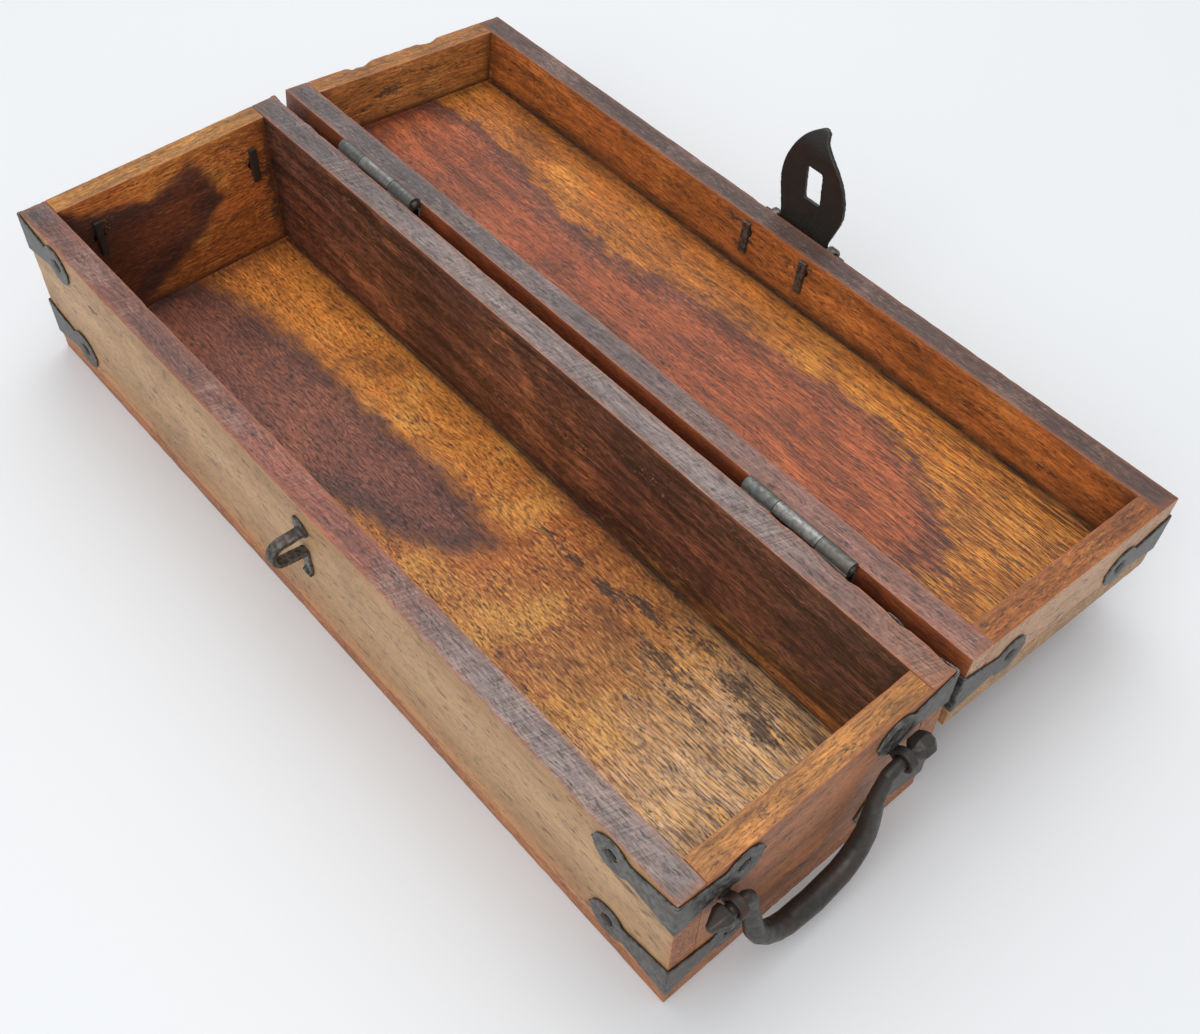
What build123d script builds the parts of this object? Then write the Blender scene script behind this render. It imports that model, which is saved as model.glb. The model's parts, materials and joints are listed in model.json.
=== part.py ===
from build123d import *
import math
import os

# Long narrow hardwood box with a hinged lid, forged corner straps, a hasp and two bail handles.
# The origin is the middle of the body's underside. X runs along the box, -Y is the lock side, Z is up.
# Rest pose: the lid is thrown fully open behind the body, with its rims facing up.

# Body of the box
body_length = 406.0
body_width = 127.0
body_height = 78.5
long_board_thickness = 12.0
end_panel_thickness = 10.5
bottom_board_thickness = 8.5
rim_arris = 0.6

# Lid, which sits a little back from the front and overhangs a little at the ends
lid_front_setback = 2.0
lid_end_overhang = 1.0
lid_height = 38.0
lid_long_board_thickness = 12.0
lid_end_panel_thickness = 10.5
lid_top_thickness = 11.5
lid_lean_past_flat = 6.0

# Hinges: two butts with three knuckles each, in the gap behind the body
rim_gap = 0.4
hinge_centre_x = 126.5
hinge_length = 52.0
hinge_middle_knuckle = 21.0
hinge_knuckle_gap = 0.3
hinge_knuckle_radius = 3.1
hinge_knuckle_play = 0.3
hinge_relief = 0.4
hinge_pin_radius = 1.5
hinge_pin_clearance = 0.05
hinge_pin_proud = 0.6
hinge_leaf_thickness = 1.2
hinge_leaf_drop = 20.0
hinge_leaf_corner = 3.0
hinge_nail_spacing = 34.0
hinge_nail_drop = 13.0

# Corner straps: an L of sheet iron, each leg tapering to a neck and ending in a leaf
strap_thickness = 1.0
strap_corner_width = 19.5
strap_neck_width = 10.4
strap_neck_at = 20.6
strap_leaf_width = 18.8
strap_leaf_cuts = 6
strap_leaf_widest_at = 28.6
strap_length = 38.4
strap_tip_width = 2.0
strap_tip_point = 1.2
strap_bend_radius = 0.8
strap_dish_radius = 3.9
strap_dish_floor_radius = 1.8
strap_dish_sides = 8
upper_strap_below_rim = 10.0
lower_strap_above_base = 19.5
lid_strap_below_rim = 19.0

# Nails: all hand-forged, with square shanks that taper to the point
nail_clearance = 0.05
nail_point_size = 0.9
nail_head_sides = 8
strap_nail_size = 2.2
strap_nail_length = 8.5
strap_nail_head_radius = 2.7
strap_nail_rim_height = 0.12
strap_nail_crown_rise = 0.5
strap_nail_crown_slope = 1.2
hinge_nail_size = 1.7
hinge_nail_length = 8.0
hinge_nail_head_radius = 1.8
hinge_nail_head_rise = 0.6
board_nail_size = 2.4
board_nail_head_size = 4.6
board_nail_head_thickness = 0.9
board_nail_sink = 0.1
board_nail_grip = 9.0
board_nail_count = 3
board_nail_end_margin = 34.0

# Split pins: a flat strip bent round the bar, its two legs driven through the board and clenched
eye_clearance = 0.3
eye_strip_thickness = 1.8
eye_slit = 0.2
eye_throat_radius = 1.6
eye_clench_gap = 0.1
eye_hole_clearance = 0.15
handle_eye_width = 3.6
handle_eye_leg = 9.0
hasp_eye_width = 4.0
hasp_eye_lower_leg = 11.0
hasp_eye_upper_leg = 5.4

# Bail handle on each end: thick in the middle of the bow, thin where it turns into the eyes
handle_axis_below_rim = 21.5
handle_eye_wall_gap = 0.8
handle_eye_half_span = 39.3
handle_sideways_offset = -2.5
handle_end_radius = 2.6
handle_middle_radius = 4.7
handle_bow_shift = -3.0
handle_bow_top_half_width = 30.6
handle_bow_bottom_half_width = 26.0
handle_bow_radius = 25.0
handle_floor_clearance = 7.2
handle_lean = 5.5
handle_journal_play = 0.4
handle_knob_gap = 2.4
handle_knob_radius = 4.6
handle_knob_length = 8.5
handle_knob_slope = 1.7
handle_knob_slope_rise = 2.2
handle_block_size = 8.2
handle_block_chamfer = 1.9
handle_block_length = 2.4
handle_spire_length = 5.8
handle_spire_tip = 2.6

# Hasp on the lid
lock_x = 4.5
hasp_axis_below_rim = 7.5
hasp_standoff = 6.0
hasp_eye_half_span = 17.0
hasp_bar_radius = 2.2
hasp_bar_overhang = 6.5
hasp_thickness = 2.0
hasp_base_half_width = 14.2
hasp_belly_half_width = 18.7
hasp_belly_rise = 25.0
hasp_shoulder_half_width = 13.3
hasp_shoulder_drop = 8.7
hasp_tip_rise = 52.3
hasp_tip_half_width = 3.05
hasp_tip_shift = -2.95
hasp_tip_curl_length = 12.0
hasp_tip_curl_radius = 22.0
hasp_slot_rise = 26.9
hasp_slot_width = 8.8
hasp_slot_height = 14.9
hasp_slot_slant = 1.1
hasp_slot_shift = -0.2
hasp_slot_corner = 1.0

# Staple on the body
staple_reach = 15.5
staple_half_height = 6.1
staple_bar_thickness = 2.3
staple_bar_width = 4.8
staple_lower_slope = 10.0
staple_foot_thickness = 1.4
staple_leaf_rise = 4.3
staple_leaf_width = 9.0
staple_leaf_lean = 4.4
staple_tail_drop = 13.0
staple_scroll_radius = 1.25
staple_tang_width = 3.2
staple_tang_thickness = 2.2
staple_tang_length = 10.0
staple_tang_taper = 5.0

# Derived places
half_length = body_length / 2
half_width = body_width / 2
wall_height = body_height - bottom_board_thickness
lid_length = body_length + 2 * lid_end_overhang
lid_width = body_width - lid_front_setback
lid_half_length = lid_length / 2
lid_wall_height = lid_height - lid_top_thickness
rear_gap = 2 * (hinge_knuckle_radius + hinge_knuckle_play)
handle_standoff = handle_end_radius + eye_clearance + eye_strip_thickness + handle_eye_wall_gap
hinge_axis_y = half_width + rear_gap / 2
hinge_axis_z = body_height + rim_gap / 2
lean = math.radians(lid_lean_past_flat)

# Body pieces are placed in body_frame. Lid pieces are placed in lid_frame, whose origin lies on the
# hinge axis: its y runs across the open lid away from the body, its z points out of the lid's mouth.
body_frame = Plane.XY
hinge_frame = Plane(origin=(0, hinge_axis_y, hinge_axis_z), x_dir=(1, 0, 0), z_dir=(0, 0, 1))
lid_frame = Plane(
    origin=(0, hinge_axis_y, hinge_axis_z),
    x_dir=(1, 0, 0),
    z_dir=(0, math.sin(lean), math.cos(lean)),
)
lid_rear_y = rear_gap / 2
lid_front_y = lid_rear_y + lid_width
lid_middle_y = (lid_rear_y + lid_front_y) / 2
lid_rim_z = -rim_gap / 2
lid_seam_z = lid_rim_z - lid_wall_height
lid_top_z = lid_rim_z - lid_height

os.makedirs("parts", exist_ok=True)


def save(piece, name):
    piece.part.label = name
    export_step(piece.part, f"parts/{name}.step")


def placed(frame, origin, x_dir, z_dir):
    """A plane given in a frame's own coordinates."""
    return Plane(frame.location * Plane(origin=origin, x_dir=x_dir, z_dir=z_dir).location)


def along(plane, x, z=0.0):
    """The same plane moved along its own x and z."""
    return Plane(plane.location * Location((x, 0, z)))


def places(planes):
    return [plane.location for plane in planes]


def facing(planes, direction):
    """The planes whose z points the given way."""
    return [plane for plane in planes if plane.z_dir.dot(Vector(direction)) > 0.9]


# Strap faces: each plane has its origin on the corner edge, x away from the corner, z out of the wood
corner_sides = {
    "front_left": (-1, -1),
    "front_right": (1, -1),
    "rear_left": (-1, 1),
    "rear_right": (1, 1),
}


def strap_faces(frame, end_x, face_y, height, side_x, side_y):
    corner = (side_x * end_x, face_y, height)
    long_face = placed(frame, corner, (-side_x, 0, 0), (0, side_y, 0))
    end_face = placed(frame, corner, (0, -side_y, 0), (side_x, 0, 0))
    return long_face, end_face


body_strap_faces = {}
strap_levels = {"upper": body_height - upper_strap_below_rim, "lower": lower_strap_above_base}
for level, height in strap_levels.items():
    for corner, (side_x, side_y) in corner_sides.items():
        body_strap_faces[f"{level}_strap_{corner}"] = strap_faces(
            body_frame, half_length, side_y * half_width, height, side_x, side_y
        )

# The lid's front is the lock side, which lies furthest from the body while the lid is open
lid_strap_faces = {}
for corner, (side_x, side_y) in corner_sides.items():
    lid_face_y = lid_front_y if side_y < 0 else lid_rear_y
    lid_strap_faces[f"lid_strap_{corner}"] = strap_faces(
        lid_frame, lid_half_length, lid_face_y, lid_rim_z - lid_strap_below_rim, side_x, -side_y
    )

body_strap_nail_spots = [along(face, strap_leaf_widest_at) for pair in body_strap_faces.values() for face in pair]
lid_strap_nail_spots = [along(face, strap_leaf_widest_at) for pair in lid_strap_faces.values() for face in pair]

# Hinge nails go in from behind, two through each leaf
hinge_nail_xs = [side * hinge_centre_x + step * hinge_nail_spacing / 2 for side in (-1, 1) for step in (-1, 1)]
body_hinge_nail_spots = [
    placed(hinge_frame, (x, -rear_gap / 2, -hinge_nail_drop), (1, 0, 0), (0, 1, 0)) for x in hinge_nail_xs
]
lid_hinge_nail_spots = [
    placed(lid_frame, (x, lid_rear_y, -hinge_nail_drop), (1, 0, 0), (0, -1, 0)) for x in hinge_nail_xs
]


# Nails that hold the bottom board and the lid's top board to the long boards, driven from outside
def board_nail_spots(frame, length, rows, z):
    span = length / 2 - board_nail_end_margin
    step = 2 * span / (board_nail_count - 1)
    xs = [-span + step * count for count in range(board_nail_count)]
    return [placed(frame, (x, y, z), (1, 0, 0), (0, 0, -1)) for x in xs for y in rows]


bottom_nail_rows = (-half_width + long_board_thickness / 2, half_width - long_board_thickness / 2)
bottom_nail_spots = board_nail_spots(body_frame, body_length, bottom_nail_rows, 0)
lid_top_nail_rows = (lid_rear_y + lid_long_board_thickness / 2, lid_front_y - lid_long_board_thickness / 2)
lid_top_nail_spots = board_nail_spots(lid_frame, lid_length, lid_top_nail_rows, lid_top_z)

# Split pins: each plane has its origin on the pivot, x out of the wood, y up the board
handle_axis_x = half_length + handle_standoff
handle_axis_z = body_height - handle_axis_below_rim


def handle_pin_planes(side_x):
    middle_y = side_x * handle_sideways_offset
    return [
        Plane(
            origin=(side_x * handle_axis_x, middle_y + side_y * handle_eye_half_span, handle_axis_z),
            x_dir=(side_x, 0, 0),
            z_dir=(0, -side_x, 0),
        )
        for side_y in (-1, 1)
    ]


handle_pins = {"left": handle_pin_planes(-1), "right": handle_pin_planes(1)}
hasp_axis_y = lid_front_y + hasp_standoff
hasp_axis_z = lid_rim_z - hasp_axis_below_rim
hasp_pins = [
    placed(lid_frame, (lock_x + side * hasp_eye_half_span, hasp_axis_y, hasp_axis_z), (0, 1, 0), (1, 0, 0))
    for side in (-1, 1)
]

# The staple stands where the hasp's slot comes down when the lid is shut
staple_z = body_height + rim_gap + hasp_axis_below_rim - hasp_slot_rise - 0.1
staple_loop_centre = staple_reach - staple_half_height
staple_slope = math.radians(staple_lower_slope)


def staple_arm_foot(radius):
    """How far below the loop's middle its lower arm meets the board, for a bend of this radius."""
    return (radius + staple_loop_centre * math.sin(staple_slope)) / math.cos(staple_slope)


staple_bend_radius = staple_half_height - staple_bar_thickness / 2
staple_face = placed(body_frame, (lock_x, -half_width, staple_z), (1, 0, 0), (0, -1, 0))
staple_tang_planes = [
    placed(body_frame, (lock_x, -half_width, staple_z + rise), (1, 0, 0), (0, 1, 0))
    for rise in (-staple_arm_foot(staple_bend_radius), staple_bend_radius)
]


# Nails are drawn with z pointing out of the wood and the wood's surface at z = 0
def drawn_shank(size, top_z, length, play=0.0):
    """A square shank, or its hole when given play, tapering from top_z down into the wood."""
    wide = size + 2 * play
    narrow = nail_point_size + 2 * play
    edge = (wide - narrow) / 2
    with BuildPart() as shank:
        with Locations(Location((0, 0, top_z), (-90, 0, 0))):
            Wedge(
                wide,
                length + play,
                wide,
                edge,
                edge,
                wide - edge,
                wide - edge,
                align=(Align.CENTER, Align.MIN, Align.CENTER),
            )
    return shank.part


strap_nail_hole = drawn_shank(strap_nail_size, 0, strap_nail_length, nail_clearance)
hinge_nail_hole = drawn_shank(hinge_nail_size, 0, hinge_nail_length, nail_clearance)


# Cutters shared by the boards, used inside a board's own block
def cut_nail_holes(hole, spots):
    with Locations(*places(spots)):
        add(hole, mode=Mode.SUBTRACT)


def cut_board_nail_holes(spots, thickness):
    head_size = board_nail_head_size + 2 * nail_clearance
    with Locations(*places(spots)):
        Box(
            head_size,
            head_size,
            board_nail_sink + board_nail_head_thickness,
            align=(Align.CENTER, Align.CENTER, Align.MAX),
            mode=Mode.SUBTRACT,
        )
        add(drawn_shank(board_nail_size, 0, thickness + board_nail_grip, nail_clearance), mode=Mode.SUBTRACT)


def cut_pin_holes(pins, width, reach):
    """Round holes for the two legs of each split pin."""
    radius = math.hypot(width / 2, eye_strip_thickness + eye_slit / 2) + eye_hole_clearance
    with Locations(*[Plane(origin=pin.origin, z_dir=pin.x_dir).location for pin in pins]):
        Hole(radius, reach)


# Body boards
with BuildPart() as front_board:
    with BuildSketch(Plane.XY.offset(bottom_board_thickness)):
        with Locations((0, -half_width)):
            Rectangle(body_length, long_board_thickness, align=(Align.CENTER, Align.MIN))
    extrude(amount=wall_height)
    chamfer(front_board.edges().group_by(Axis.Z)[-1].sort_by(Axis.Y)[0], rim_arris)
    cut_nail_holes(strap_nail_hole, facing(body_strap_nail_spots, (0, -1, 0)))
    cut_board_nail_holes(bottom_nail_spots, bottom_board_thickness)
    for tang_plane in staple_tang_planes:
        with BuildSketch(tang_plane):
            Rectangle(staple_tang_width + 2 * nail_clearance, staple_tang_thickness + 2 * nail_clearance)
        extrude(amount=staple_tang_length + nail_clearance, taper=staple_tang_taper, mode=Mode.SUBTRACT)
save(front_board, "front_board")

with BuildPart() as rear_board:
    with BuildSketch(Plane.XY.offset(bottom_board_thickness)):
        with Locations((0, half_width)):
            Rectangle(body_length, long_board_thickness, align=(Align.CENTER, Align.MAX))
    extrude(amount=wall_height)
    chamfer(rear_board.edges().group_by(Axis.Z)[-1].sort_by(Axis.Y)[-1], rim_arris)
    cut_nail_holes(strap_nail_hole, facing(body_strap_nail_spots, (0, 1, 0)))
    cut_nail_holes(hinge_nail_hole, body_hinge_nail_spots)
    cut_board_nail_holes(bottom_nail_spots, bottom_board_thickness)
save(rear_board, "rear_board")

for side_x, side in ((-1, "left"), (1, "right")):
    with BuildPart() as end_panel:
        with BuildSketch(Plane.XY.offset(bottom_board_thickness)):
            with Locations((side_x * (half_length - end_panel_thickness / 2), 0)):
                Rectangle(end_panel_thickness, body_width - 2 * long_board_thickness)
        extrude(amount=wall_height)
        chamfer(end_panel.edges().group_by(Axis.Z)[-1].sort_by(Axis((0, 0, 0), (side_x, 0, 0)))[-1], rim_arris)
        cut_nail_holes(strap_nail_hole, facing(body_strap_nail_spots, (side_x, 0, 0)))
        cut_pin_holes(handle_pins[side], handle_eye_width, handle_standoff + end_panel_thickness)
    save(end_panel, f"end_panel_{side}")

with BuildPart() as bottom_board:
    Box(body_length, body_width, bottom_board_thickness, align=(Align.CENTER, Align.CENTER, Align.MIN))
    chamfer(bottom_board.edges().group_by(Axis.Z)[0], rim_arris)
    cut_board_nail_holes(bottom_nail_spots, bottom_board_thickness)
save(bottom_board, "bottom_board")

# Lid boards, built up from the seam between the walls and the top board
lid_up = Axis(lid_frame.origin, lid_frame.z_dir)
lid_across = Axis(lid_frame.origin, lid_frame.y_dir)
lid_seam_plane = placed(lid_frame, (0, 0, lid_seam_z), (1, 0, 0), (0, 0, 1))

with BuildPart() as lid_rear_board:
    with BuildSketch(lid_seam_plane):
        with Locations((0, lid_rear_y)):
            Rectangle(lid_length, lid_long_board_thickness, align=(Align.CENTER, Align.MIN))
    extrude(amount=lid_wall_height)
    chamfer(lid_rear_board.edges().group_by(lid_up)[-1].sort_by(lid_across)[0], rim_arris)
    cut_nail_holes(strap_nail_hole, facing(lid_strap_nail_spots, -lid_frame.y_dir))
    cut_nail_holes(hinge_nail_hole, lid_hinge_nail_spots)
    cut_board_nail_holes(lid_top_nail_spots, lid_top_thickness)
save(lid_rear_board, "lid_rear_board")

with BuildPart() as lid_front_board:
    with BuildSketch(lid_seam_plane):
        with Locations((0, lid_front_y)):
            Rectangle(lid_length, lid_long_board_thickness, align=(Align.CENTER, Align.MAX))
    extrude(amount=lid_wall_height)
    chamfer(lid_front_board.edges().group_by(lid_up)[-1].sort_by(lid_across)[-1], rim_arris)
    cut_nail_holes(strap_nail_hole, facing(lid_strap_nail_spots, lid_frame.y_dir))
    cut_board_nail_holes(lid_top_nail_spots, lid_top_thickness)
    cut_pin_holes(hasp_pins, hasp_eye_width, hasp_standoff + lid_long_board_thickness)
save(lid_front_board, "lid_front_board")

for side_x, side in ((-1, "left"), (1, "right")):
    with BuildPart() as lid_end_panel:
        with BuildSketch(lid_seam_plane):
            with Locations((side_x * (lid_half_length - lid_end_panel_thickness / 2), lid_middle_y)):
                Rectangle(lid_end_panel_thickness, lid_width - 2 * lid_long_board_thickness)
        extrude(amount=lid_wall_height)
        chamfer(lid_end_panel.edges().group_by(lid_up)[-1].sort_by(Axis((0, 0, 0), (side_x, 0, 0)))[-1], rim_arris)
        cut_nail_holes(strap_nail_hole, facing(lid_strap_nail_spots, (side_x, 0, 0)))
    save(lid_end_panel, f"lid_end_panel_{side}")

with BuildPart() as lid_top_board:
    with BuildSketch(placed(lid_frame, (0, 0, lid_top_z), (1, 0, 0), (0, 0, 1))):
        with Locations((0, lid_middle_y)):
            Rectangle(lid_length, lid_width)
    extrude(amount=lid_top_thickness)
    chamfer(lid_top_board.edges().group_by(lid_up)[0], rim_arris)
    cut_board_nail_holes(lid_top_nail_spots, lid_top_thickness)
save(lid_top_board, "lid_top_board")


# Corner straps
def strap_leg_outline(face):
    """One leg, lying on its strap face: a tapering band, a neck and a leaf that comes to a point."""
    corner_half = strap_corner_width / 2
    neck_half = strap_neck_width / 2
    tip_half = strap_tip_width / 2
    neck = (strap_neck_at, neck_half)
    widest = (strap_leaf_widest_at, strap_leaf_width / 2)
    shoulder = (strap_length - strap_tip_point, tip_half)
    with BuildSketch(face) as outline:
        with BuildLine():
            Polyline((strap_neck_at, 0), (-strap_thickness, 0), (-strap_thickness, corner_half), (0, corner_half), neck)
            leaf_edge = ThreePointArc(neck, widest, shoulder, mode=Mode.PRIVATE)
            Polyline(*[leaf_edge @ (cut / strap_leaf_cuts) for cut in range(strap_leaf_cuts + 1)])
            Polyline(shoulder, (strap_length, 0), (strap_neck_at, 0))
        make_face()
        mirror(about=Plane.XZ)
    return outline.sketch


# The dish hammered into a strap round each nail, drawn with z = 0 on the wood and open well above the strap
dish_flare = strap_dish_radius - strap_dish_floor_radius
with BuildPart() as dish:
    with BuildSketch():
        RegularPolygon(strap_dish_radius + dish_flare, strap_dish_sides, major_radius=False)
    extrude(amount=3 * strap_thickness)
    dish_floor = dish.faces().sort_by(Axis.Z)[0]
    chamfer(dish_floor.edges(), 2 * dish_flare, 2 * strap_thickness, reference=dish_floor)

for name, faces in (body_strap_faces | lid_strap_faces).items():
    with BuildPart() as strap:
        for face in faces:
            extrude(strap_leg_outline(face), amount=strap_thickness)
        bend_middle = faces[0].origin + (faces[0].z_dir + faces[1].z_dir) * strap_thickness
        fillet(strap.edges().sort_by_distance(bend_middle)[0], strap_bend_radius)
        with Locations(*places([along(face, strap_leaf_widest_at) for face in faces])):
            add(dish.part, mode=Mode.SUBTRACT)
    save(strap, name)

# Strap nails: the head's underside follows the dish, and its crown stands a little proud
dish_slope = strap_thickness / (strap_dish_radius - strap_dish_floor_radius)
head_flare = strap_nail_head_radius - strap_dish_floor_radius + nail_clearance
head_flare_height = head_flare * dish_slope
head_height = head_flare_height + strap_nail_rim_height + strap_nail_crown_rise
with BuildPart() as strap_nail:
    with BuildSketch(Plane.XY.offset(nail_clearance)):
        RegularPolygon(strap_nail_head_radius, nail_head_sides)
    extrude(amount=head_height)
    underside = strap_nail.faces().sort_by(Axis.Z)[0]
    chamfer(underside.edges(), head_flare, head_flare_height, reference=underside)
    crown = strap_nail.faces().sort_by(Axis.Z)[-1]
    chamfer(crown.edges(), strap_nail_crown_slope, strap_nail_crown_rise, reference=crown)
    add(drawn_shank(strap_nail_size, nail_clearance, strap_nail_length + nail_clearance))

with BuildPart() as hinge_nail:
    with BuildSketch(Plane.XY.offset(hinge_leaf_thickness)):
        RegularPolygon(hinge_nail_head_radius, nail_head_sides)
    extrude(amount=hinge_nail_head_rise)
    chamfer(hinge_nail.edges().group_by(Axis.Z)[-1], hinge_nail_head_rise * 0.6)
    add(drawn_shank(hinge_nail_size, hinge_leaf_thickness, hinge_nail_length + hinge_leaf_thickness))


def board_nail(thickness):
    """A flat-headed nail sunk just under the face of an outer board."""
    with BuildPart() as one_nail:
        with Locations((0, 0, -board_nail_sink)):
            Box(
                board_nail_head_size,
                board_nail_head_size,
                board_nail_head_thickness,
                align=(Align.CENTER, Align.CENTER, Align.MAX),
            )
        add(drawn_shank(board_nail_size, 0, thickness + board_nail_grip))
        split(bisect_by=Plane.XY.offset(-board_nail_sink), keep=Keep.BOTTOM)
    return one_nail.part


nail_groups = {
    "body_strap_nails": (strap_nail.part, body_strap_nail_spots),
    "lid_strap_nails": (strap_nail.part, lid_strap_nail_spots),
    "body_hinge_nails": (hinge_nail.part, body_hinge_nail_spots),
    "lid_hinge_nails": (hinge_nail.part, lid_hinge_nail_spots),
    "bottom_nails": (board_nail(bottom_board_thickness), bottom_nail_spots),
    "lid_top_nails": (board_nail(lid_top_thickness), lid_top_nail_spots),
}
for name, (one_nail, spots) in nail_groups.items():
    with BuildPart() as nails:
        with Locations(*places(spots)):
            add(one_nail)
    save(nails, name)


# Hinges
def hinge_leaf(frame, side_y, centre_x, spans, nail_spots):
    """A leaf on a rear face: under each span it is either rolled into a knuckle or cut back from one."""
    face_y = side_y * rear_gap / 2
    inner_y = face_y - side_y * hinge_leaf_thickness
    relief_z = -hinge_knuckle_radius - hinge_relief
    with BuildPart() as leaf:
        for start, end, rolled in spans:
            with BuildSketch(placed(frame, (centre_x + start, 0, 0), (0, 1, 0), (1, 0, 0))):
                top_z = -hinge_relief if rolled else relief_z
                with BuildLine():
                    Polyline(
                        (face_y, -hinge_leaf_drop),
                        (inner_y, -hinge_leaf_drop),
                        (inner_y, top_z),
                        (face_y, top_z),
                        close=True,
                    )
                make_face()
                if rolled:
                    Circle(hinge_knuckle_radius)
                    Circle(hinge_pin_radius + hinge_pin_clearance, mode=Mode.SUBTRACT)
            extrude(amount=end - start)
        with Locations(*places(nail_spots)):
            Box(
                hinge_nail_size + 2 * nail_clearance,
                hinge_nail_size + 2 * nail_clearance,
                2 * hinge_leaf_thickness,
                mode=Mode.SUBTRACT,
            )
        leaf_down = Axis(frame.origin, -frame.z_dir)
        corners = leaf.edges().filter_by(Axis(frame.origin, frame.y_dir)).group_by(leaf_down)[-1]
        fillet(corners, hinge_leaf_corner)
    return leaf.part


half_hinge = hinge_length / 2
half_middle = hinge_middle_knuckle / 2
outer_start = half_middle + hinge_knuckle_gap
body_leaf_spans = [
    (-half_hinge, -outer_start, True),
    (-outer_start, outer_start, False),
    (outer_start, half_hinge, True),
]
lid_leaf_spans = [
    (-half_hinge, -half_middle, False),
    (-half_middle, half_middle, True),
    (half_middle, half_hinge, False),
]
for side_x, side in ((-1, "left"), (1, "right")):
    hinge_x = side_x * hinge_centre_x
    body_spots = [spot for spot in body_hinge_nail_spots if spot.origin.X * side_x > 0]
    lid_spots = [spot for spot in lid_hinge_nail_spots if spot.origin.X * side_x > 0]
    with BuildPart() as body_leaf:
        add(hinge_leaf(hinge_frame, -1, hinge_x, body_leaf_spans, body_spots))
    save(body_leaf, f"hinge_body_leaf_{side}")
    with BuildPart() as lid_leaf:
        add(hinge_leaf(lid_frame, 1, hinge_x, lid_leaf_spans, lid_spots))
    save(lid_leaf, f"hinge_lid_leaf_{side}")
    with BuildPart() as hinge_pin:
        with BuildSketch(placed(hinge_frame, (hinge_x, 0, 0), (0, 1, 0), (1, 0, 0))):
            Circle(hinge_pin_radius)
        extrude(amount=half_hinge + hinge_pin_proud, both=True)
    save(hinge_pin, f"hinge_pin_{side}")


# Split pins
def split_pin(plane, bore_radius, wall_reach, width, upper_leg, lower_leg):
    """A strip looped into an eye, then through the board side by side, then clenched up and down."""
    half_strip = eye_strip_thickness / 2
    ring_radius = bore_radius + half_strip
    stem_y = half_strip + eye_slit / 2
    leg_x = -wall_reach - eye_clench_gap - half_strip
    throat_y = stem_y + eye_throat_radius
    throat_reach = ring_radius + eye_throat_radius
    throat_x = -math.sqrt(throat_reach**2 - throat_y**2)
    throat_turn = math.atan2(-throat_y, -throat_x)
    throat_middle = (throat_turn - math.pi / 2) / 2
    ring_touch_x = throat_x * ring_radius / throat_reach
    ring_touch_y = throat_y * ring_radius / throat_reach
    throat_middle_x = throat_x + eye_throat_radius * math.cos(throat_middle)
    throat_middle_y = throat_y + eye_throat_radius * math.sin(throat_middle)

    def half_path(side, leg):
        Polyline((leg_x, side * leg), (leg_x, side * stem_y), (throat_x, side * stem_y))
        ThreePointArc(
            (throat_x, side * stem_y),
            (throat_middle_x, side * throat_middle_y),
            (ring_touch_x, side * ring_touch_y),
        )

    with BuildPart() as pin:
        with BuildLine(plane) as strip_path:
            half_path(1, upper_leg)
            ThreePointArc((ring_touch_x, ring_touch_y), (ring_radius, 0), (ring_touch_x, -ring_touch_y))
            half_path(-1, lower_leg)
        leg_end = Plane(plane.location * Location((leg_x, upper_leg, 0)))
        with BuildSketch(Plane(origin=leg_end.origin, x_dir=plane.z_dir, z_dir=-plane.y_dir)):
            Rectangle(width, eye_strip_thickness)
        sweep(path=strip_path.wire(), transition=Transition.RIGHT)
    return pin.part


for side, pins in handle_pins.items():
    with BuildPart() as handle_eyes:
        for pin in pins:
            add(
                split_pin(
                    pin,
                    handle_end_radius + eye_clearance,
                    handle_standoff + end_panel_thickness,
                    handle_eye_width,
                    handle_eye_leg,
                    handle_eye_leg,
                )
            )
    save(handle_eyes, f"handle_eyes_{side}")

with BuildPart() as hasp_eyes:
    for pin in hasp_pins:
        add(
            split_pin(
                pin,
                hasp_bar_radius + eye_clearance,
                hasp_standoff + lid_long_board_thickness,
                hasp_eye_width,
                hasp_eye_upper_leg,
                hasp_eye_lower_leg,
            )
        )
save(hasp_eyes, "hasp_eyes")

# Bail handles. In each handle's plane x runs along the pivot and y hangs down the bail.
handle_tilt = math.radians(handle_lean)
handle_drop = (handle_axis_z - handle_floor_clearance - handle_middle_radius) / math.cos(handle_tilt)
journal_half = handle_eye_width / 2 + handle_journal_play
journal_inner = handle_eye_half_span - journal_half
knob_start = handle_eye_half_span + handle_eye_width / 2 + handle_knob_gap
bow_left_run = journal_inner - (handle_bow_top_half_width - handle_bow_shift)
bow_right_run = journal_inner - (handle_bow_top_half_width + handle_bow_shift)
turn_share = 0.88
section_shares = [0, 0.014, 0.03, 0.048, 0.13, 0.22, 0.265, 0.31, 0.355, 0.4, 0.5]
section_shares += [1 - share for share in reversed(section_shares[:-1])]

# The knob at one end of each bail is forged with eight flats
with BuildPart() as handle_knob:
    with BuildSketch():
        RegularPolygon(handle_knob_radius, 8, major_radius=False)
    extrude(amount=handle_knob_length)
    for end in (0, -1):
        knob_face = handle_knob.faces().sort_by(Axis.Z)[end]
        chamfer(knob_face.edges(), handle_knob_slope, handle_knob_slope_rise, reference=knob_face)

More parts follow.
